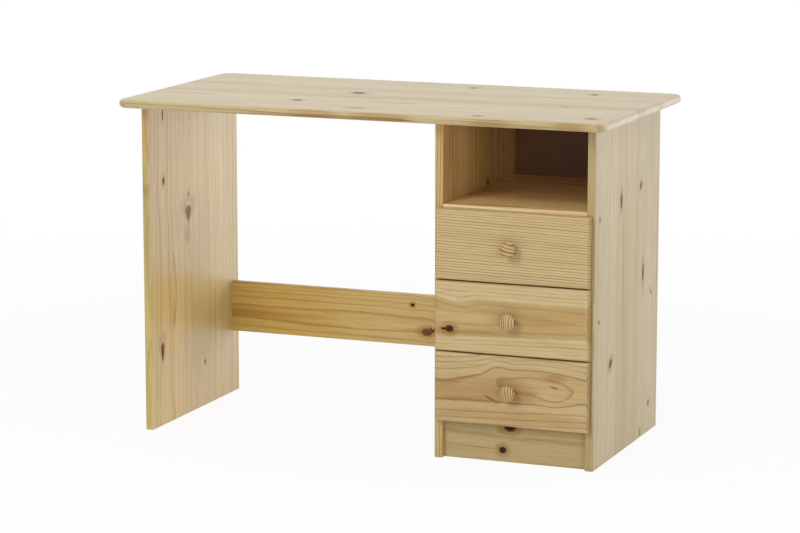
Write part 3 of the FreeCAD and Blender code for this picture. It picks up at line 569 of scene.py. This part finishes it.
    def grow_rings(self):
        """Work out the year rings, as how dark each point is with summer wood."""
        cut = self.cut
        pith_across, pith_through = self.find_pith()
        across = self.across - self.bend if cut.knots else self.across
        run = self.along - self.middle[0]
        if cut.lean:
            pith_across = run * cut.lean + pith_across
        radius = ((across - pith_across).squared() + (self.through - pith_through).squared()).root()
        radius = radius + run * cut.taper
        radius = radius + (self.streaks(self.DRIFT_WAVES, detail=1.0) - 0.5) * cut.drift
        radius = radius + (self.streaks(self.RIPPLE_WAVES) - 0.5) * cut.wave
        for swell in cut.swells:
            radius = radius + self.length(self.local(swell)).ramp(0.0, 1.0, swell.height, 0.0)
        edges = (cut.heart * (1 - self.HEART_EDGE), cut.heart * (1 + self.HEART_EDGE))
        self.heart = radius.ramp(*edges, cut.heart_share, 0.0)
        uneven = self.noise(self.join(radius, cut.seed, 0.0), self.YEAR_WAVES, 1.0) * self.YEAR_DRIFT
        years = radius / cut.ring + uneven + cut.phase
        year = years.floor()
        part = years - year
        strength = self.draws(year + cut.seed)[0] * (1 - self.FAINTEST_YEAR) + self.FAINTEST_YEAR
        line = part.ramp(cut.spring, self.SUMMER).squared() * part.ramp(*self.WINTER, 1.0, 0.0)
        self.summer = line * strength

    def lay_colour(self):
        """Mix the board's colour from its wood, staves, fibres, staining, painted light and shade, and knots.
        """
        cut, tones = self.cut, self.tones
        self.fibre = self.streaks(self.FIBRE_WAVES)
        self.end = self.facing(cut.axes[0]).ramp(*self.END)
        bands = self.streaks(self.BAND_WAVES, detail=3.0).ramp(*self.BAND, 0.0, cut.streak)
        lines = self.streaks(self.LINE_WAVES).ramp(*self.FIBRE, 0.0, self.LINE_SHARE)
        fibres = self.fibre.ramp(*self.FIBRE, 0.0, self.FIBRE_SHARE)
        colour = self.mix(self.summer * cut.contrast, opaque(tones.spring_wood), opaque(tones.summer_wood))
        colour = self.tint(self.heart, colour, tones.heart_wood)
        colour = self.tint(1.0, colour, cut.tint)
        colour = self.tint(self.tone, colour, self.STAVE_TINT)
        colour = self.tint(bands, colour, self.BAND_TINT)
        colour = self.tint(lines, colour, self.FIBRE_TINT)
        colour = self.tint(fibres, colour, self.FIBRE_TINT)
        for stain_and_painted_light in cut.stains_and_painted_light:
            share = self.length(self.local(stain_and_painted_light)).ramp(*self.STAIN_AND_LIGHT_FADE, stain_and_painted_light.share, 0.0)
            colour = self.tint(share, colour, stain_and_painted_light.tint)
        if cut.stave:
            colour = self.tint(self.glue * self.GLUE_SHARE, colour, self.GLUE_TINT)
        if cut.knots:
            colour = self.tint(self.shade * self.SHADE_SHARE, colour, self.SHADE_TINT)
            colour = self.tint(self.eye, colour, self.EYE_TINT)
            wood = [tone * tint for tone, tint in zip(tones.knot, cut.knot_tint)]
            knot = self.mix(self.black, opaque(wood), opaque(tones.bark))
            colour = self.mix(self.core, colour, knot)
        edge = self.facing(cut.axes[1]).ramp(*cut.edge_ramp)
        colour = self.tint(edge, colour, cut.edge_tint)
        return self.tint(self.end, colour, cut.end_tint)

    def board(self):
        """Finish the board."""
        if self.cut.knots:
            self.grow_knots()
        self.grow_rings()
        colour = self.lay_colour()
        rough = self.fibre * self.ROUGH_FIBRE + self.end * self.ROUGH_END
        rough = rough + (self.tones.roughness - self.ROUGH_FIBRE / 2) - self.summer * self.SMOOTH_SUMMER
        height = self.fibre * self.HIGH_FIBRE + self.summer * self.HIGH_SUMMER
        if self.cut.knots:
            rough = rough + self.core * self.ROUGH_KNOT
        if self.cut.stave:
            height = height - self.glue
        sockets = {
            "Base Color": colour,
            "Roughness": rough,
            "Specular IOR Level": self.cut.gloss,
        }
        if self.cut.coat:
            sockets["Coat Weight"] = (1 - self.core) * self.cut.coat
            sockets["Coat IOR"] = self.COAT_IOR
            sockets["Coat Roughness"] = self.COAT_ROUGHNESS
        return self.surface(height, self.DEPTH, sockets)


def dress(names, material):
    """Give nodes of the frame a finish."""
    for name in names:
        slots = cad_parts[name].material_slots
        if not slots:
            raise RuntimeError(f"{name} has no material slot")
        for slot in slots:
            slot.material = material


def dress_boards(boards):
    """Give each board pine of its own cut."""
    for node, cut in boards.items():
        dress([node], Pine(f"{node}_pine", node, cut).board())


class FinishOperator:
    """What the operators share."""

    bl_options = {"REGISTER", "UNDO"}

    def execute(self, context):
        self.work(context.scene)
        return {"FINISHED"}


class DESK_OT_desktop(FinishOperator, bpy.types.Operator):
    """Finish the desktop, glued up from staves along its width"""

    bl_idname = "desk.desktop"
    bl_label = "Desktop"

    def work(self, scene):
        knots = (
            Knot(-0.111, 0.027, 0.015, 0.013, 0.85),
            Knot(-0.185, -0.135, 0.013, 0.01, 0.75),
            Knot(-0.017, -0.2135, 0.018, 0.006, 0.5),
            Knot(0.089, 0.205, 0.009, 0.008, 0.8),
            Knot(0.377, 0.183, 0.009, 0.009, 0.85),
            Knot(0.263, -0.2415, 0.012, 0.007, 0.6),
            Knot(0.383, -0.037, 0.008, 0.007, 0.4),
            Knot(0.494, -0.201, 0.012, 0.009, 0.7),
        )
        stains_and_painted_light = (
            StainAndPaintedLight(-0.09, -0.273, 0.07, 0.005, 0.6),
            StainAndPaintedLight(0.06, -0.274, 0.09, 0.006, 0.7),
            StainAndPaintedLight(0.3, -0.275, 0.06, 0.004, 0.6),
            StainAndPaintedLight(0.47, -0.274, 0.05, 0.006, 0.7),
            StainAndPaintedLight(0.535, -0.272, 0.012, 0.008, 0.35),
            StainAndPaintedLight(0.38, -0.275, 0.2, 0.007, 0.8, tint=(0.97, 0.93, 0.84)),
        )
        cut = Cut(
            "xyz",
            3.1,
            ring=0.0042,
            contrast=0.75,
            stave=0.088,
            joint=-0.0908,
            tint=(1.04, 1.16, 1.4),
            edge_tint=(0.7, 0.67, 0.57),
            # Painted pale light on the desktop's rounded ends
            end_tint=(1.14, 1.2, 1.6),
            knot_tint=(1.05, 1.5, 1.8),
            knots=knots,
            stains_and_painted_light=stains_and_painted_light,
        )
        dress_boards({"desktop": cut})


# How squarely a panel's edge faces forwards or back where its tint starts, and where it is full
PANEL_EDGE = (0.78, 0.99)


class DESK_OT_side_panels(FinishOperator, bpy.types.Operator):
    """Finish the three side panels, glued up from upright staves"""

    bl_idname = "desk.side_panels"
    bl_label = "Side panels"

    def work(self, scene):
        left = (
            Knot(0.6875, -0.158, 0.014, 0.003, 0.9),
            Knot(0.541, -0.158, 0.01, 0.006, 0.85),
            Knot(0.451, -0.036, 0.02, 0.013, 0.7, point=0.8),
            Knot(0.494, -0.034, 0.006, 0.005, 0.5),
            Knot(0.164, -0.173, 0.022, 0.0075, 0.9, point=0.5),
            Knot(0.0997, 0.0417, 0.005, 0.004, 0.8),
        )
        middle = (
            Knot(0.547, 0.048, 0.009, 0.007, 0.8),
            Knot(0.31, -0.1, 0.013, 0.009, 0.7),
            Knot(0.14, 0.125, 0.01, 0.008, 0.6),
            Knot(0.61, 0.145, 0.006, 0.005, 0.3),
        )
        right = (
            Knot(0.54, -0.05, 0.017, 0.007, 0.9),
            Knot(0.554, 0.087, 0.01, 0.0065, 0.85, lean=0.4),
            Knot(0.5225, -0.194, 0.0065, 0.0038, 0.75),
            Knot(0.363, 0.11, 0.021, 0.006, 0.9),
            Knot(0.206, -0.112, 0.0125, 0.0085, 0.9, lean=0.95),
            Knot(0.065, 0.1615, 0.006, 0.006, 0.7),
            Knot(0.0107, 0.102, 0.009, 0.006, 0.45),
            Knot(0.309, -0.194, 0.008, 0.003, 0.6, lean=-0.9),
            Knot(0.31, 0.169, 0.01, 0.0035, 0.5, lean=-0.7),
        )
        dress_boards(
            {
                "left_side_panel": Cut(
                    "zyx",
                    14.3,
                    ring=0.0065,
                    phase=0.45,
                    spring=0.6,
                    contrast=0.8,
                    streak=1.0,
                    stave=0.095,
                    joint=-0.0225,
                    heart_share=0.1,
                    tint=(0.93, 0.91, 0.77),
                    edge_tint=(0.78, 0.815, 0.53),
                    edge_ramp=PANEL_EDGE,
                    gloss=0.15,
                    coat=1.0,
                    knots=left,
                    swells=(
                        Swell(0.4, -0.04, 0.2, 0.06, 0.006),
                        Swell(0.3, -0.1, 0.16, 0.05, -0.004),
                    ),
                    stains_and_painted_light=(
                        StainAndPaintedLight(0.405, -0.042, 0.03, 0.02, 0.7),
                        # A painted highlight on the top of the pointed knot
                        StainAndPaintedLight(0.472, -0.036, 0.01, 0.016, 1.0, tint=(1.2, 1.3, 1.6)),
                        # Painted pale, bluish light towards the back top
                        StainAndPaintedLight(0.66, 0.25, 0.7, 0.33, 1.0, tint=(1.2, 1.34, 1.66)),
                        # More golden towards the front bottom
                        StainAndPaintedLight(0.1, -0.22, 0.4, 0.25, 1.0, tint=(1.16, 1.13, 0.86)),
                        StainAndPaintedLight(0.38, -0.06, 0.14, 0.25, 1.0, tint=(0.91, 0.91, 0.89)),
                        StainAndPaintedLight(0.356, -0.226, 0.8, 0.006, 1.0, tint=(0.9, 0.96, 1.2)),
                        StainAndPaintedLight(0.53, -0.227, 0.017, 0.006, 1.0, tint=(0.98, 0.74, 0.5)),
                        StainAndPaintedLight(0.66, -0.227, 0.13, 0.006, 1.0, tint=(1.08, 0.9, 0.84)),
                    ),
                ),
                "pedestal_left_panel": Cut(
                    "zyx",
                    23.7,
                    contrast=1.3,
                    stave=0.09,
                    joint=-0.03,
                    tint=(1.0, 0.98, 0.9),
                    edge_tint=(0.82, 0.94, 0.96),
                    edge_ramp=PANEL_EDGE,
                    knots=middle,
                    stains_and_painted_light=(
                        StainAndPaintedLight(0.7, 0.0, 0.35, 0.6, 1.0, tint=(1.02, 0.96, 0.86)),
                        StainAndPaintedLight(0.65, 0.0, 0.24, 0.11, 1.0, tint=(0.86, 0.76, 0.6)),
                        StainAndPaintedLight(0.65, 0.063, 0.11, 0.004, 0.6),
                        StainAndPaintedLight(0.62, 0.113, 0.2, 0.009, 0.7),
                        StainAndPaintedLight(0.65, -0.09, 0.12, 0.005, 1.0, tint=(1.12, 1.16, 1.25)),
                        StainAndPaintedLight(0.65, -0.118, 0.09, 0.003, 1.0, tint=(1.1, 1.14, 1.2)),
                        # Painted warm light at the back of the compartment, where light bounces between its
                        # walls
                        StainAndPaintedLight(0.62, 0.2, 0.3, 0.07, 0.9, tint=(1.2, 1.06, 1.04)),
                    ),
                ),
                "pedestal_right_panel": Cut(
                    "zyx",
                    37.9,
                    contrast=0.65,
                    stave=0.082,
                    joint=-0.035,
                    tint=(0.87, 0.95, 1.08),
                    edge_tint=(0.78, 0.765, 0.63),
                    edge_ramp=PANEL_EDGE,
                    knot_tint=(1.0, 1.5, 1.6),
                    knots=right,
                    stains_and_painted_light=(
                        # Greyer and darker towards the back top
                        StainAndPaintedLight(0.66, 0.2, 0.35, 0.16, 0.6, tint=(0.86, 0.85, 0.85)),
                        StainAndPaintedLight(0.65, 0.17, 0.1, 0.05, 0.6, tint=(0.84, 0.83, 0.83)),
                        # Painted shadow of the desktop's overhang along the top of the panel
                        StainAndPaintedLight(0.72, 0.0, 0.09, 0.7, 0.7, tint=(0.86, 0.85, 0.83)),
                        StainAndPaintedLight(0.18, -0.014, 0.3, 0.028, 0.6, tint=(1.0, 0.97, 0.78)),
                    ),
                ),
            }
        )


class DESK_OT_rails(FinishOperator, bpy.types.Operator):
    """Finish the stretcher and the plinth"""

    bl_idname = "desk.rails"
    bl_label = "Stretcher and plinth"

    def work(self, scene):
        stretcher = (
            Knot(-0.013, 0.176, 0.014, 0.0085, 0.8),
            Knot(-0.002, 0.1825, 0.007, 0.0017, 1.0, lean=-1.0, eye=0),
            Knot(0.0035, 0.181, 0.007, 0.0016, 1.0, lean=1.1, eye=0),
            Knot(-0.048, 0.236, 0.005, 0.004, 1.0, eye=0.6),
        )
        plinth = (
            Knot(0.327, 0.075, 0.015, 0.01, 1.0),
            Knot(0.3115, 0.025, 0.009, 0.008, 1.0),
        )
        dress_boards(
            {
                "stretcher": Cut(
                    "xzy",
                    5.3,
                    ring=0.005,
                    phase=0.5,
                    spring=0.55,
                    contrast=0.7,
                    pith=(-0.01, 0.081),
                    tint=(0.94, 0.9, 0.66),
                    # A painted highlight on the stretcher's upper and lower faces
                    edge_tint=(1.2, 1.2, 1.4),
                    knot_tint=(0.6, 0.5, 0.3),
                    gloss=0.15,
                    knots=stretcher,
                    stains_and_painted_light=(
                        StainAndPaintedLight(-0.47, 0.19, 0.28, 0.013, 0.75),
                        # Darker and yellower towards the left end
                        StainAndPaintedLight(-0.5, 0.2, 0.5, 0.3, 1.0, tint=(0.88, 0.83, 0.66)),
                        # Painted pale, cool light towards the right end
                        StainAndPaintedLight(0.05, 0.2, 0.4, 0.3, 1.0, tint=(1.1, 1.15, 1.38)),
                    ),
                ),
                "plinth": Cut(
                    "xzy",
                    8.9,
                    ring=0.006,
                    pith=(-0.02, 0.12),
                    tint=(0.68, 0.69, 0.66),
                    gloss=0.15,
                    knots=plinth,
                    stains_and_painted_light=(StainAndPaintedLight(0.24, 0.0275, 0.08, 0.0014, 0.9, lean=-0.03),),
                ),
            }
        )


class DESK_OT_shelves(FinishOperator, bpy.types.Operator):
    """Finish the shelf of the open compartment and the board under the drawers"""

    bl_idname = "desk.shelves"
    bl_label = "Shelf and bottom board"

    def work(self, scene):
        dress_boards(
            {
                "shelf": Cut(
                    "xyz",
                    41.2,
                    contrast=0.8,
                    stave=0.11,
                    joint=-0.05,
                    tint=(1.27, 1.17, 1.04),
                    edge_tint=(0.89, 1.0, 1.2),
                    stains_and_painted_light=(
                        # Painted shadow of the desktop across the middle of the shelf
                        StainAndPaintedLight(0.338, -0.035, 0.5, 0.11, 1.0, tint=(0.68, 0.59, 0.5)),
                        # Painted pale light towards the back of the shelf
                        StainAndPaintedLight(0.338, 0.22, 0.5, 0.16, 1.0, tint=(1.3, 1.3, 1.5)),
                        # Painted light towards the front of the shelf
                        StainAndPaintedLight(0.36, -0.17, 0.4, 0.05, 0.8, tint=(1.1, 1.12, 1.15)),
                    ),
                ),
                "pedestal_bottom": Cut("xyz", 53.6, stave=0.1, joint=-0.02),
            }
        )


# A painted highlight on the rounded upper and lower edges of the drawer fronts, which makes them paler than
# their faces
FRONT_EDGE_HIGHLIGHT = (1.15, 1.15, 1.12)


class DESK_OT_drawer_fronts(FinishOperator, bpy.types.Operator):
    """Finish the three drawer fronts, each cut from the trunk in its own way"""

    bl_idname = "desk.drawer_fronts"
    bl_label = "Drawer fronts"

    def work(self, scene):
        bottom = Cut(
            "xzy",
            61.4,
            ring=0.0095,
            phase=0.71,
            spring=0.55,
            contrast=0.85,
            pith=(0.0, 0.05),
            lean=0.03,
            drift=0.005,
            wave=0.003,
            tint=(0.77, 0.77, 0.77),
            edge_tint=FRONT_EDGE_HIGHLIGHT,
            gloss=0.15,
            knots=(
                Knot(0.2945, 0.1408, 0.012, 0.0016, 0.8, lean=-0.45, eye=0),
                Knot(0.4345, 0.1745, 0.008, 0.0014, 0.8, lean=-0.17, eye=0),
            ),
            swells=(
                Swell(0.385, 0.195, 0.21, 0.075, -0.016),
                Swell(0.436, 0.155, 0.055, 0.036, -0.0075),
                Swell(0.308, 0.212, 0.045, 0.042, -0.007),
            ),
            stains_and_painted_light=(
                StainAndPaintedLight(0.255, 0.152, 0.16, 0.045, 0.45),
                StainAndPaintedLight(0.36, 0.155, 0.04, 0.032, 0.4),
                StainAndPaintedLight(0.436, 0.195, 0.03, 0.014, 0.6),
                StainAndPaintedLight(0.34, 0.104, 0.3, 0.02, 0.4),
                StainAndPaintedLight(0.45, 0.157, 0.07, 0.032, 0.7, tint=(1.08, 1.1, 1.12)),
            ),
        )
        middle = Cut(
            "xzy",
            67.8,
            ring=0.006,
            phase=0.6,
            contrast=0.5,
            pith=(0.002, 0.035),
            lean=0.014,
            taper=0.012,
            drift=0.006,
            heart=0.057,
            heart_share=0.9,
            tint=(0.81, 0.84, 0.86),
            edge_tint=FRONT_EDGE_HIGHLIGHT,
            gloss=0.15,
            knots=(
                Knot(0.2035, 0.2822, 0.0105, 0.0083, 1.0),
                Knot(0.191, 0.2818, 0.0075, 0.003, 1.0, eye=0),
            ),
            swells=(Swell(0.222, 0.34, 0.06, 0.035, 0.006),),
            stains_and_painted_light=(
                StainAndPaintedLight(0.19, 0.307, 0.17, 0.026, 1.0, tint=(1.1, 1.16, 1.26)),
                StainAndPaintedLight(0.27, 0.276, 0.12, 0.007, 0.4),
                StainAndPaintedLight(0.45, 0.2608, 0.07, 0.003, 0.8, tint=(0.93, 0.82, 0.72)),
            ),
        )
        top = Cut(
            "xzy",
            73.1,
            ring=0.0055,
            contrast=1.15,
            pith=(0.25, 0.05),
            lean=-0.03,
            drift=0.006,
            tint=(0.8, 0.82, 0.83),
            edge_tint=FRONT_EDGE_HIGHLIGHT,
            gloss=0.15,
        )
        fronts = {"bottom": bottom, "middle": middle, "top": top}
        dress_boards({f"{name}_drawer_front": cut for name, cut in fronts.items()})


class DESK_OT_drawer_boxes(FinishOperator, bpy.types.Operator):
    """Finish the sides and the backs of the drawers"""

    bl_idname = "desk.drawer_boxes"
    bl_label = "Drawer sides and backs"

    def work(self, scene):
        first, second = (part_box(f"{name}_drawer_back")[0].z for name in ("bottom", "middle"))
        # Staves as far apart as the drawers give each drawer a piece of its own out of one finish
        pitch = second - first
        joint = first - pitch / 4
        cuts = {
            "left_side": Cut("yzx", 79.5, stave=pitch, joint=joint),
            "right_side": Cut("yzx", 83.2, stave=pitch, joint=joint),
            "back": Cut("xzy", 89.9, stave=pitch, joint=joint),
        }
        for part, cut in cuts.items():
            names = [f"{name}_drawer_{part}" for name in DRAWERS]
            dress(names, Pine(f"drawer_{part}_pine", names[0], cut).board())


class DESK_OT_knobs(FinishOperator, bpy.types.Operator):
    """Finish the turned knobs, whose faces show the rings as stripes"""

    bl_idname = "desk.knobs"
    bl_label = "Knobs"

    def work(self, scene):
        # How far each knob's rings are turned, and how wide they are
        turned = {"bottom": (0.05, 0.005), "middle": (-0.12, 0.005), "top": (1.25, 0.0075)}
        dress_boards(
            {
                f"{name}_drawer_knob": Cut(
                    "yxz",
                    97 + roll,
                    ring=ring,
                    spring=0.15,
                    contrast=2.2,
                    pith=(0.2, 0.02),
                    drift=0.003,
                    tint=(0.84, 0.9, 0.88),
                    roll=roll,
                )
                for name, (roll, ring) in turned.items()
            }
        )


@dataclass(frozen=True)
class Specks:
    """Specks: their waves to the metre each way, their detail, how they show out of noise and their tint."""

    waves: tuple
    detail: float
    ramp: tuple
    tint: tuple


@dataclass(frozen=True)
class Plain:
    """A material without rings: its specks, how rough it is, and how rough and high its fine specks are."""

    fine: Specks
    coarse: Specks
    roughness: float
    rough_specks: float
    depth: float
    metallic: float = 0.0


HARDBOARD = Plain(
    fine=Specks((900, 900, 900), 3.0, (0.35, 0.7), (0.72, 0.66, 0.6)),
    coarse=Specks((14, 14, 14), 3.0, (0.3, 0.7, 0.0, 0.6), (0.84, 0.8, 0.76)),
    roughness=0.42,
    rough_specks=0.2,
    depth=0.0001,
)
RUNNER_BEECH = Plain(
    fine=Specks((900, 60, 900), 1.0, (0.55, 0.75, 0.0, 0.8), (0.66, 0.55, 0.45)),
    coarse=Specks((30, 30, 30), 2.0, (0.3, 0.7, 0.0, 0.5), (0.9, 0.86, 0.8)),
    roughness=0.5,
    rough_specks=0.15,
    depth=0.0001,
)
DOWEL_BEECH = replace(RUNNER_BEECH, fine=replace(RUNNER_BEECH.fine, waves=(500, 500, 500)))
STEEL = Plain(
    fine=Specks((1600, 1600, 1600), 2.0, (0.0, 1.0), (1.0, 1.0, 1.0)),
    coarse=Specks((220, 220, 220), 2.0, (0.3, 0.7), (0.8, 0.82, 0.84)),
    roughness=0.3,
    rough_specks=0.2,
    depth=0.00003,
    metallic=1.0,
)
ZINC = replace(STEEL, roughness=0.48)


def speckle(name, colour, plain):
    """Finish a plain material."""
    finish = Finish(name)
    place = finish.place()
    fine, coarse = (
        finish.noise(finish.vector("MULTIPLY", place, specks.waves), 1.0, specks.detail)
        for specks in (plain.fine, plain.coarse)
    )
    paint = finish.tint(fine.ramp(*plain.fine.ramp), opaque(colour), plain.fine.tint)
    paint = finish.tint(coarse.ramp(*plain.coarse.ramp), paint, plain.coarse.tint)
    sockets = {
        "Base Color": paint,
        "Metallic": plain.metallic,
        "Roughness": fine * plain.rough_specks + plain.roughness,
    }
    return finish.surface(fine, plain.depth, sockets)


class DESK_OT_hardboard(FinishOperator, bpy.types.Operator):
    """Finish the brown hardboard back and the pale bottoms of the drawers"""

    bl_idname = "desk.hardboard"
    bl_label = "Hardboard"

    def work(self, scene):
        tones = scene.desk_fittings
        dress(["back_panel"], speckle("brown_hardboard", tones.brown_hardboard, HARDBOARD))
        bottoms = [f"{name}_drawer_bottom" for name in DRAWERS]
        dress(bottoms, speckle("pale_hardboard", tones.pale_hardboard, HARDBOARD))


class DESK_OT_beech(FinishOperator, bpy.types.Operator):
    """Finish the runners and the dowels in beech"""

    bl_idname = "desk.beech"
    bl_label = "Runners and dowels"

    def work(self, scene):
        colour = scene.desk_fittings.beech
        runners = [f"runner_{name}_{side}" for name in DRAWERS for side in ("left", "right")]
        dress(runners, speckle("beech_runner", colour, RUNNER_BEECH))
        dowels = [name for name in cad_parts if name.endswith("_dowels")]
        dress(dowels, speckle("beech_dowel", colour, DOWEL_BEECH))


class DESK_OT_metal(FinishOperator, bpy.types.Operator):
    """Finish the screws, nails, bolts and brackets in plated steel, and the cam locks in zinc"""

    bl_idname = "desk.metal"
    bl_label = "Screws and fittings"

    def work(self, scene):
        tones = scene.desk_fittings
        endings = ("_screws", "_screw", "_bolts", "_nails", "_brackets")
        fittings = [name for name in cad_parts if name.endswith(endings)]
        dress(fittings, speckle("plated_steel", tones.steel, STEEL))
        dress(["cam_locks"], speckle("zinc_casting", tones.zinc, ZINC))


@dataclass(frozen=True)
class Lamp:
    """A wide soft lamp: where it hangs, its two sizes and its strength in watts."""

    place: tuple
    size: tuple
    watts: float


LAMPS = {
    "top_lamp": Lamp((-0.4, -0.3, 3.4), (3.0, 3.0), 24),
    "left_lamp": Lamp((-0.85, -3.5, 2.75), (1.1, 1.1), 62),
    "right_lamp": Lamp((3.0, -3.4, 0.85), (3.2, 1.5), 50),
    "front_lamp": Lamp((0.0, -4.6, 0.85), (2.8, 1.5), 6),
    "back_lamp": Lamp((2.6, 2.6, 0.95), (2.0, 1.6), 36),
}

# The point that the lamps face
LAMP_AIM = Vector((0.0, 0.0, 0.4))

# The size of the floor, and how white it shows: less near the desk than further off, to keep the shadow
FLOOR_RADIUS = 60.0
FLOOR_SIDES = 96
FLOOR_FADE = (1.0, 3.0, 0.92, 1.0)

# The width of the camera's sensor, in millimetres
SENSOR_WIDTH = 36.0

WHITE = (1.0, 1.0, 1.0)


def lay_floor(scene, colour):
    """Lay a round floor that fades to plain white away from the desk, and keeps its shadow near it."""
    mesh = bpy.data.meshes.new("floor")
    shape = bmesh.new()
    bmesh.ops.create_circle(shape, cap_ends=True, radius=FLOOR_RADIUS, segments=FLOOR_SIDES)
    shape.to_mesh(mesh)
    shape.free()
    floor = bpy.data.objects.new("floor", mesh)
    scene.collection.objects.link(floor)
    finish = Finish("white_floor")
    paint = finish.node("ShaderNodeBsdfDiffuse", {}, {"Color": opaque(colour)})
    white = finish.node("ShaderNodeEmission", {}, {"Color": opaque(WHITE), "Strength": 1.0})
    share = finish.length(finish.place()).ramp(*FLOOR_FADE) * finish.seen()
    shown = finish.node("ShaderNodeMixShader", {}, dict(enumerate((share, paint, white))))
    finish.node("ShaderNodeOutputMaterial", {}, {"Surface": shown})
    mesh.materials.append(finish.material)


def light_sky(scene, strength):
    """Make it white all round: plain white to the eye, and softer as light."""
    world = bpy.data.worlds.new("white_sky")
    world.use_nodes = True
    scene.world = world
    sky = Nodes(world.node_tree)
    level = sky.seen() * (1.0 - strength) + strength
    white = sky.node("ShaderNodeBackground", {}, {"Color": opaque(WHITE), "Strength": level})
    sky.node("ShaderNodeOutputWorld", {}, {"Surface": white})


def hang_lamp(scene, name, lamp, strength):
    """Hang a lamp so that it faces the desk."""
    light = bpy.data.lights.new(name, "AREA")
    light.shape = "RECTANGLE"
    light.size, light.size_y = lamp.size
    light.energy = lamp.watts * strength
    holder = bpy.data.objects.new(name, light)
    holder.location = lamp.place
    holder.rotation_euler = (LAMP_AIM - Vector(lamp.place)).to_track_quat("-Z", "Y").to_euler()
    scene.collection.objects.link(holder)


def set_camera(scene, settings):
    """Set the camera where the photograph was taken from."""
    camera = bpy.data.cameras.new("camera")
    camera.lens = settings.lens
    camera.sensor_width = SENSOR_WIDTH
    viewer = bpy.data.objects.new("camera", camera)
    viewer.location = settings.eye
    viewer.rotation_euler = (math.pi / 2 - settings.tilt, 0.0, settings.turn)
    scene.collection.objects.link(viewer)
    scene.camera = viewer


class DESK_OT_studio(FinishOperator, bpy.types.Operator):
    """Lay the white floor, hang the lamps and set the camera where the photograph was taken from"""

    bl_idname = "desk.studio"
    bl_label = "Studio"

    def work(self, scene):
        settings = scene.desk_studio
        scene.view_settings.view_transform = "Standard"
        lay_floor(scene, settings.floor)
        light_sky(scene, settings.sky)
        for name, lamp in LAMPS.items():
            hang_lamp(scene, name, lamp, settings.lamps)
        set_camera(scene, settings)


PIECES = (
    DESK_OT_desktop,
    DESK_OT_side_panels,
    DESK_OT_rails,
    DESK_OT_shelves,
    DESK_OT_drawer_fronts,
    DESK_OT_drawer_boxes,
    DESK_OT_knobs,
    DESK_OT_hardboard,
    DESK_OT_beech,
    DESK_OT_metal,
    DESK_OT_studio,
)


class DESK_PT_sidebar(bpy.types.Panel):
    """The desk's pieces and settings"""

    bl_label = "Pine kneehole desk"
    bl_space_type = "VIEW_3D"
    bl_region_type = "UI"
    bl_category = "Desk"

    def draw(self, context):
        for group in GROUPS:
            settings = getattr(context.scene, group)
            box = self.layout.box()
            for name in settings.bl_rna.properties.keys():
                if name not in ("rna_type", "name"):
                    box.prop(settings, name)
        for piece in PIECES:
            self.layout.operator(piece.bl_idname)


GROUPS = {"desk_pine": PineSettings, "desk_fittings": FittingSettings, "desk_studio": StudioSettings}
CLASSES = (*GROUPS.values(), *PIECES, DESK_PT_sidebar)


def register():
    for item in CLASSES:
        bpy.utils.register_class(item)
    for name, group in GROUPS.items():
        setattr(bpy.types.Scene, name, PointerProperty(type=group))


def unregister():
    for name in GROUPS:
        delattr(bpy.types.Scene, name)
    for item in reversed(CLASSES):
        bpy.utils.unregister_class(item)


def main():
    register()
    for piece in PIECES:
        group, name = piece.bl_idname.split(".")
        getattr(getattr(bpy.ops, group), name)()


if __name__ == "__main__":
    main()
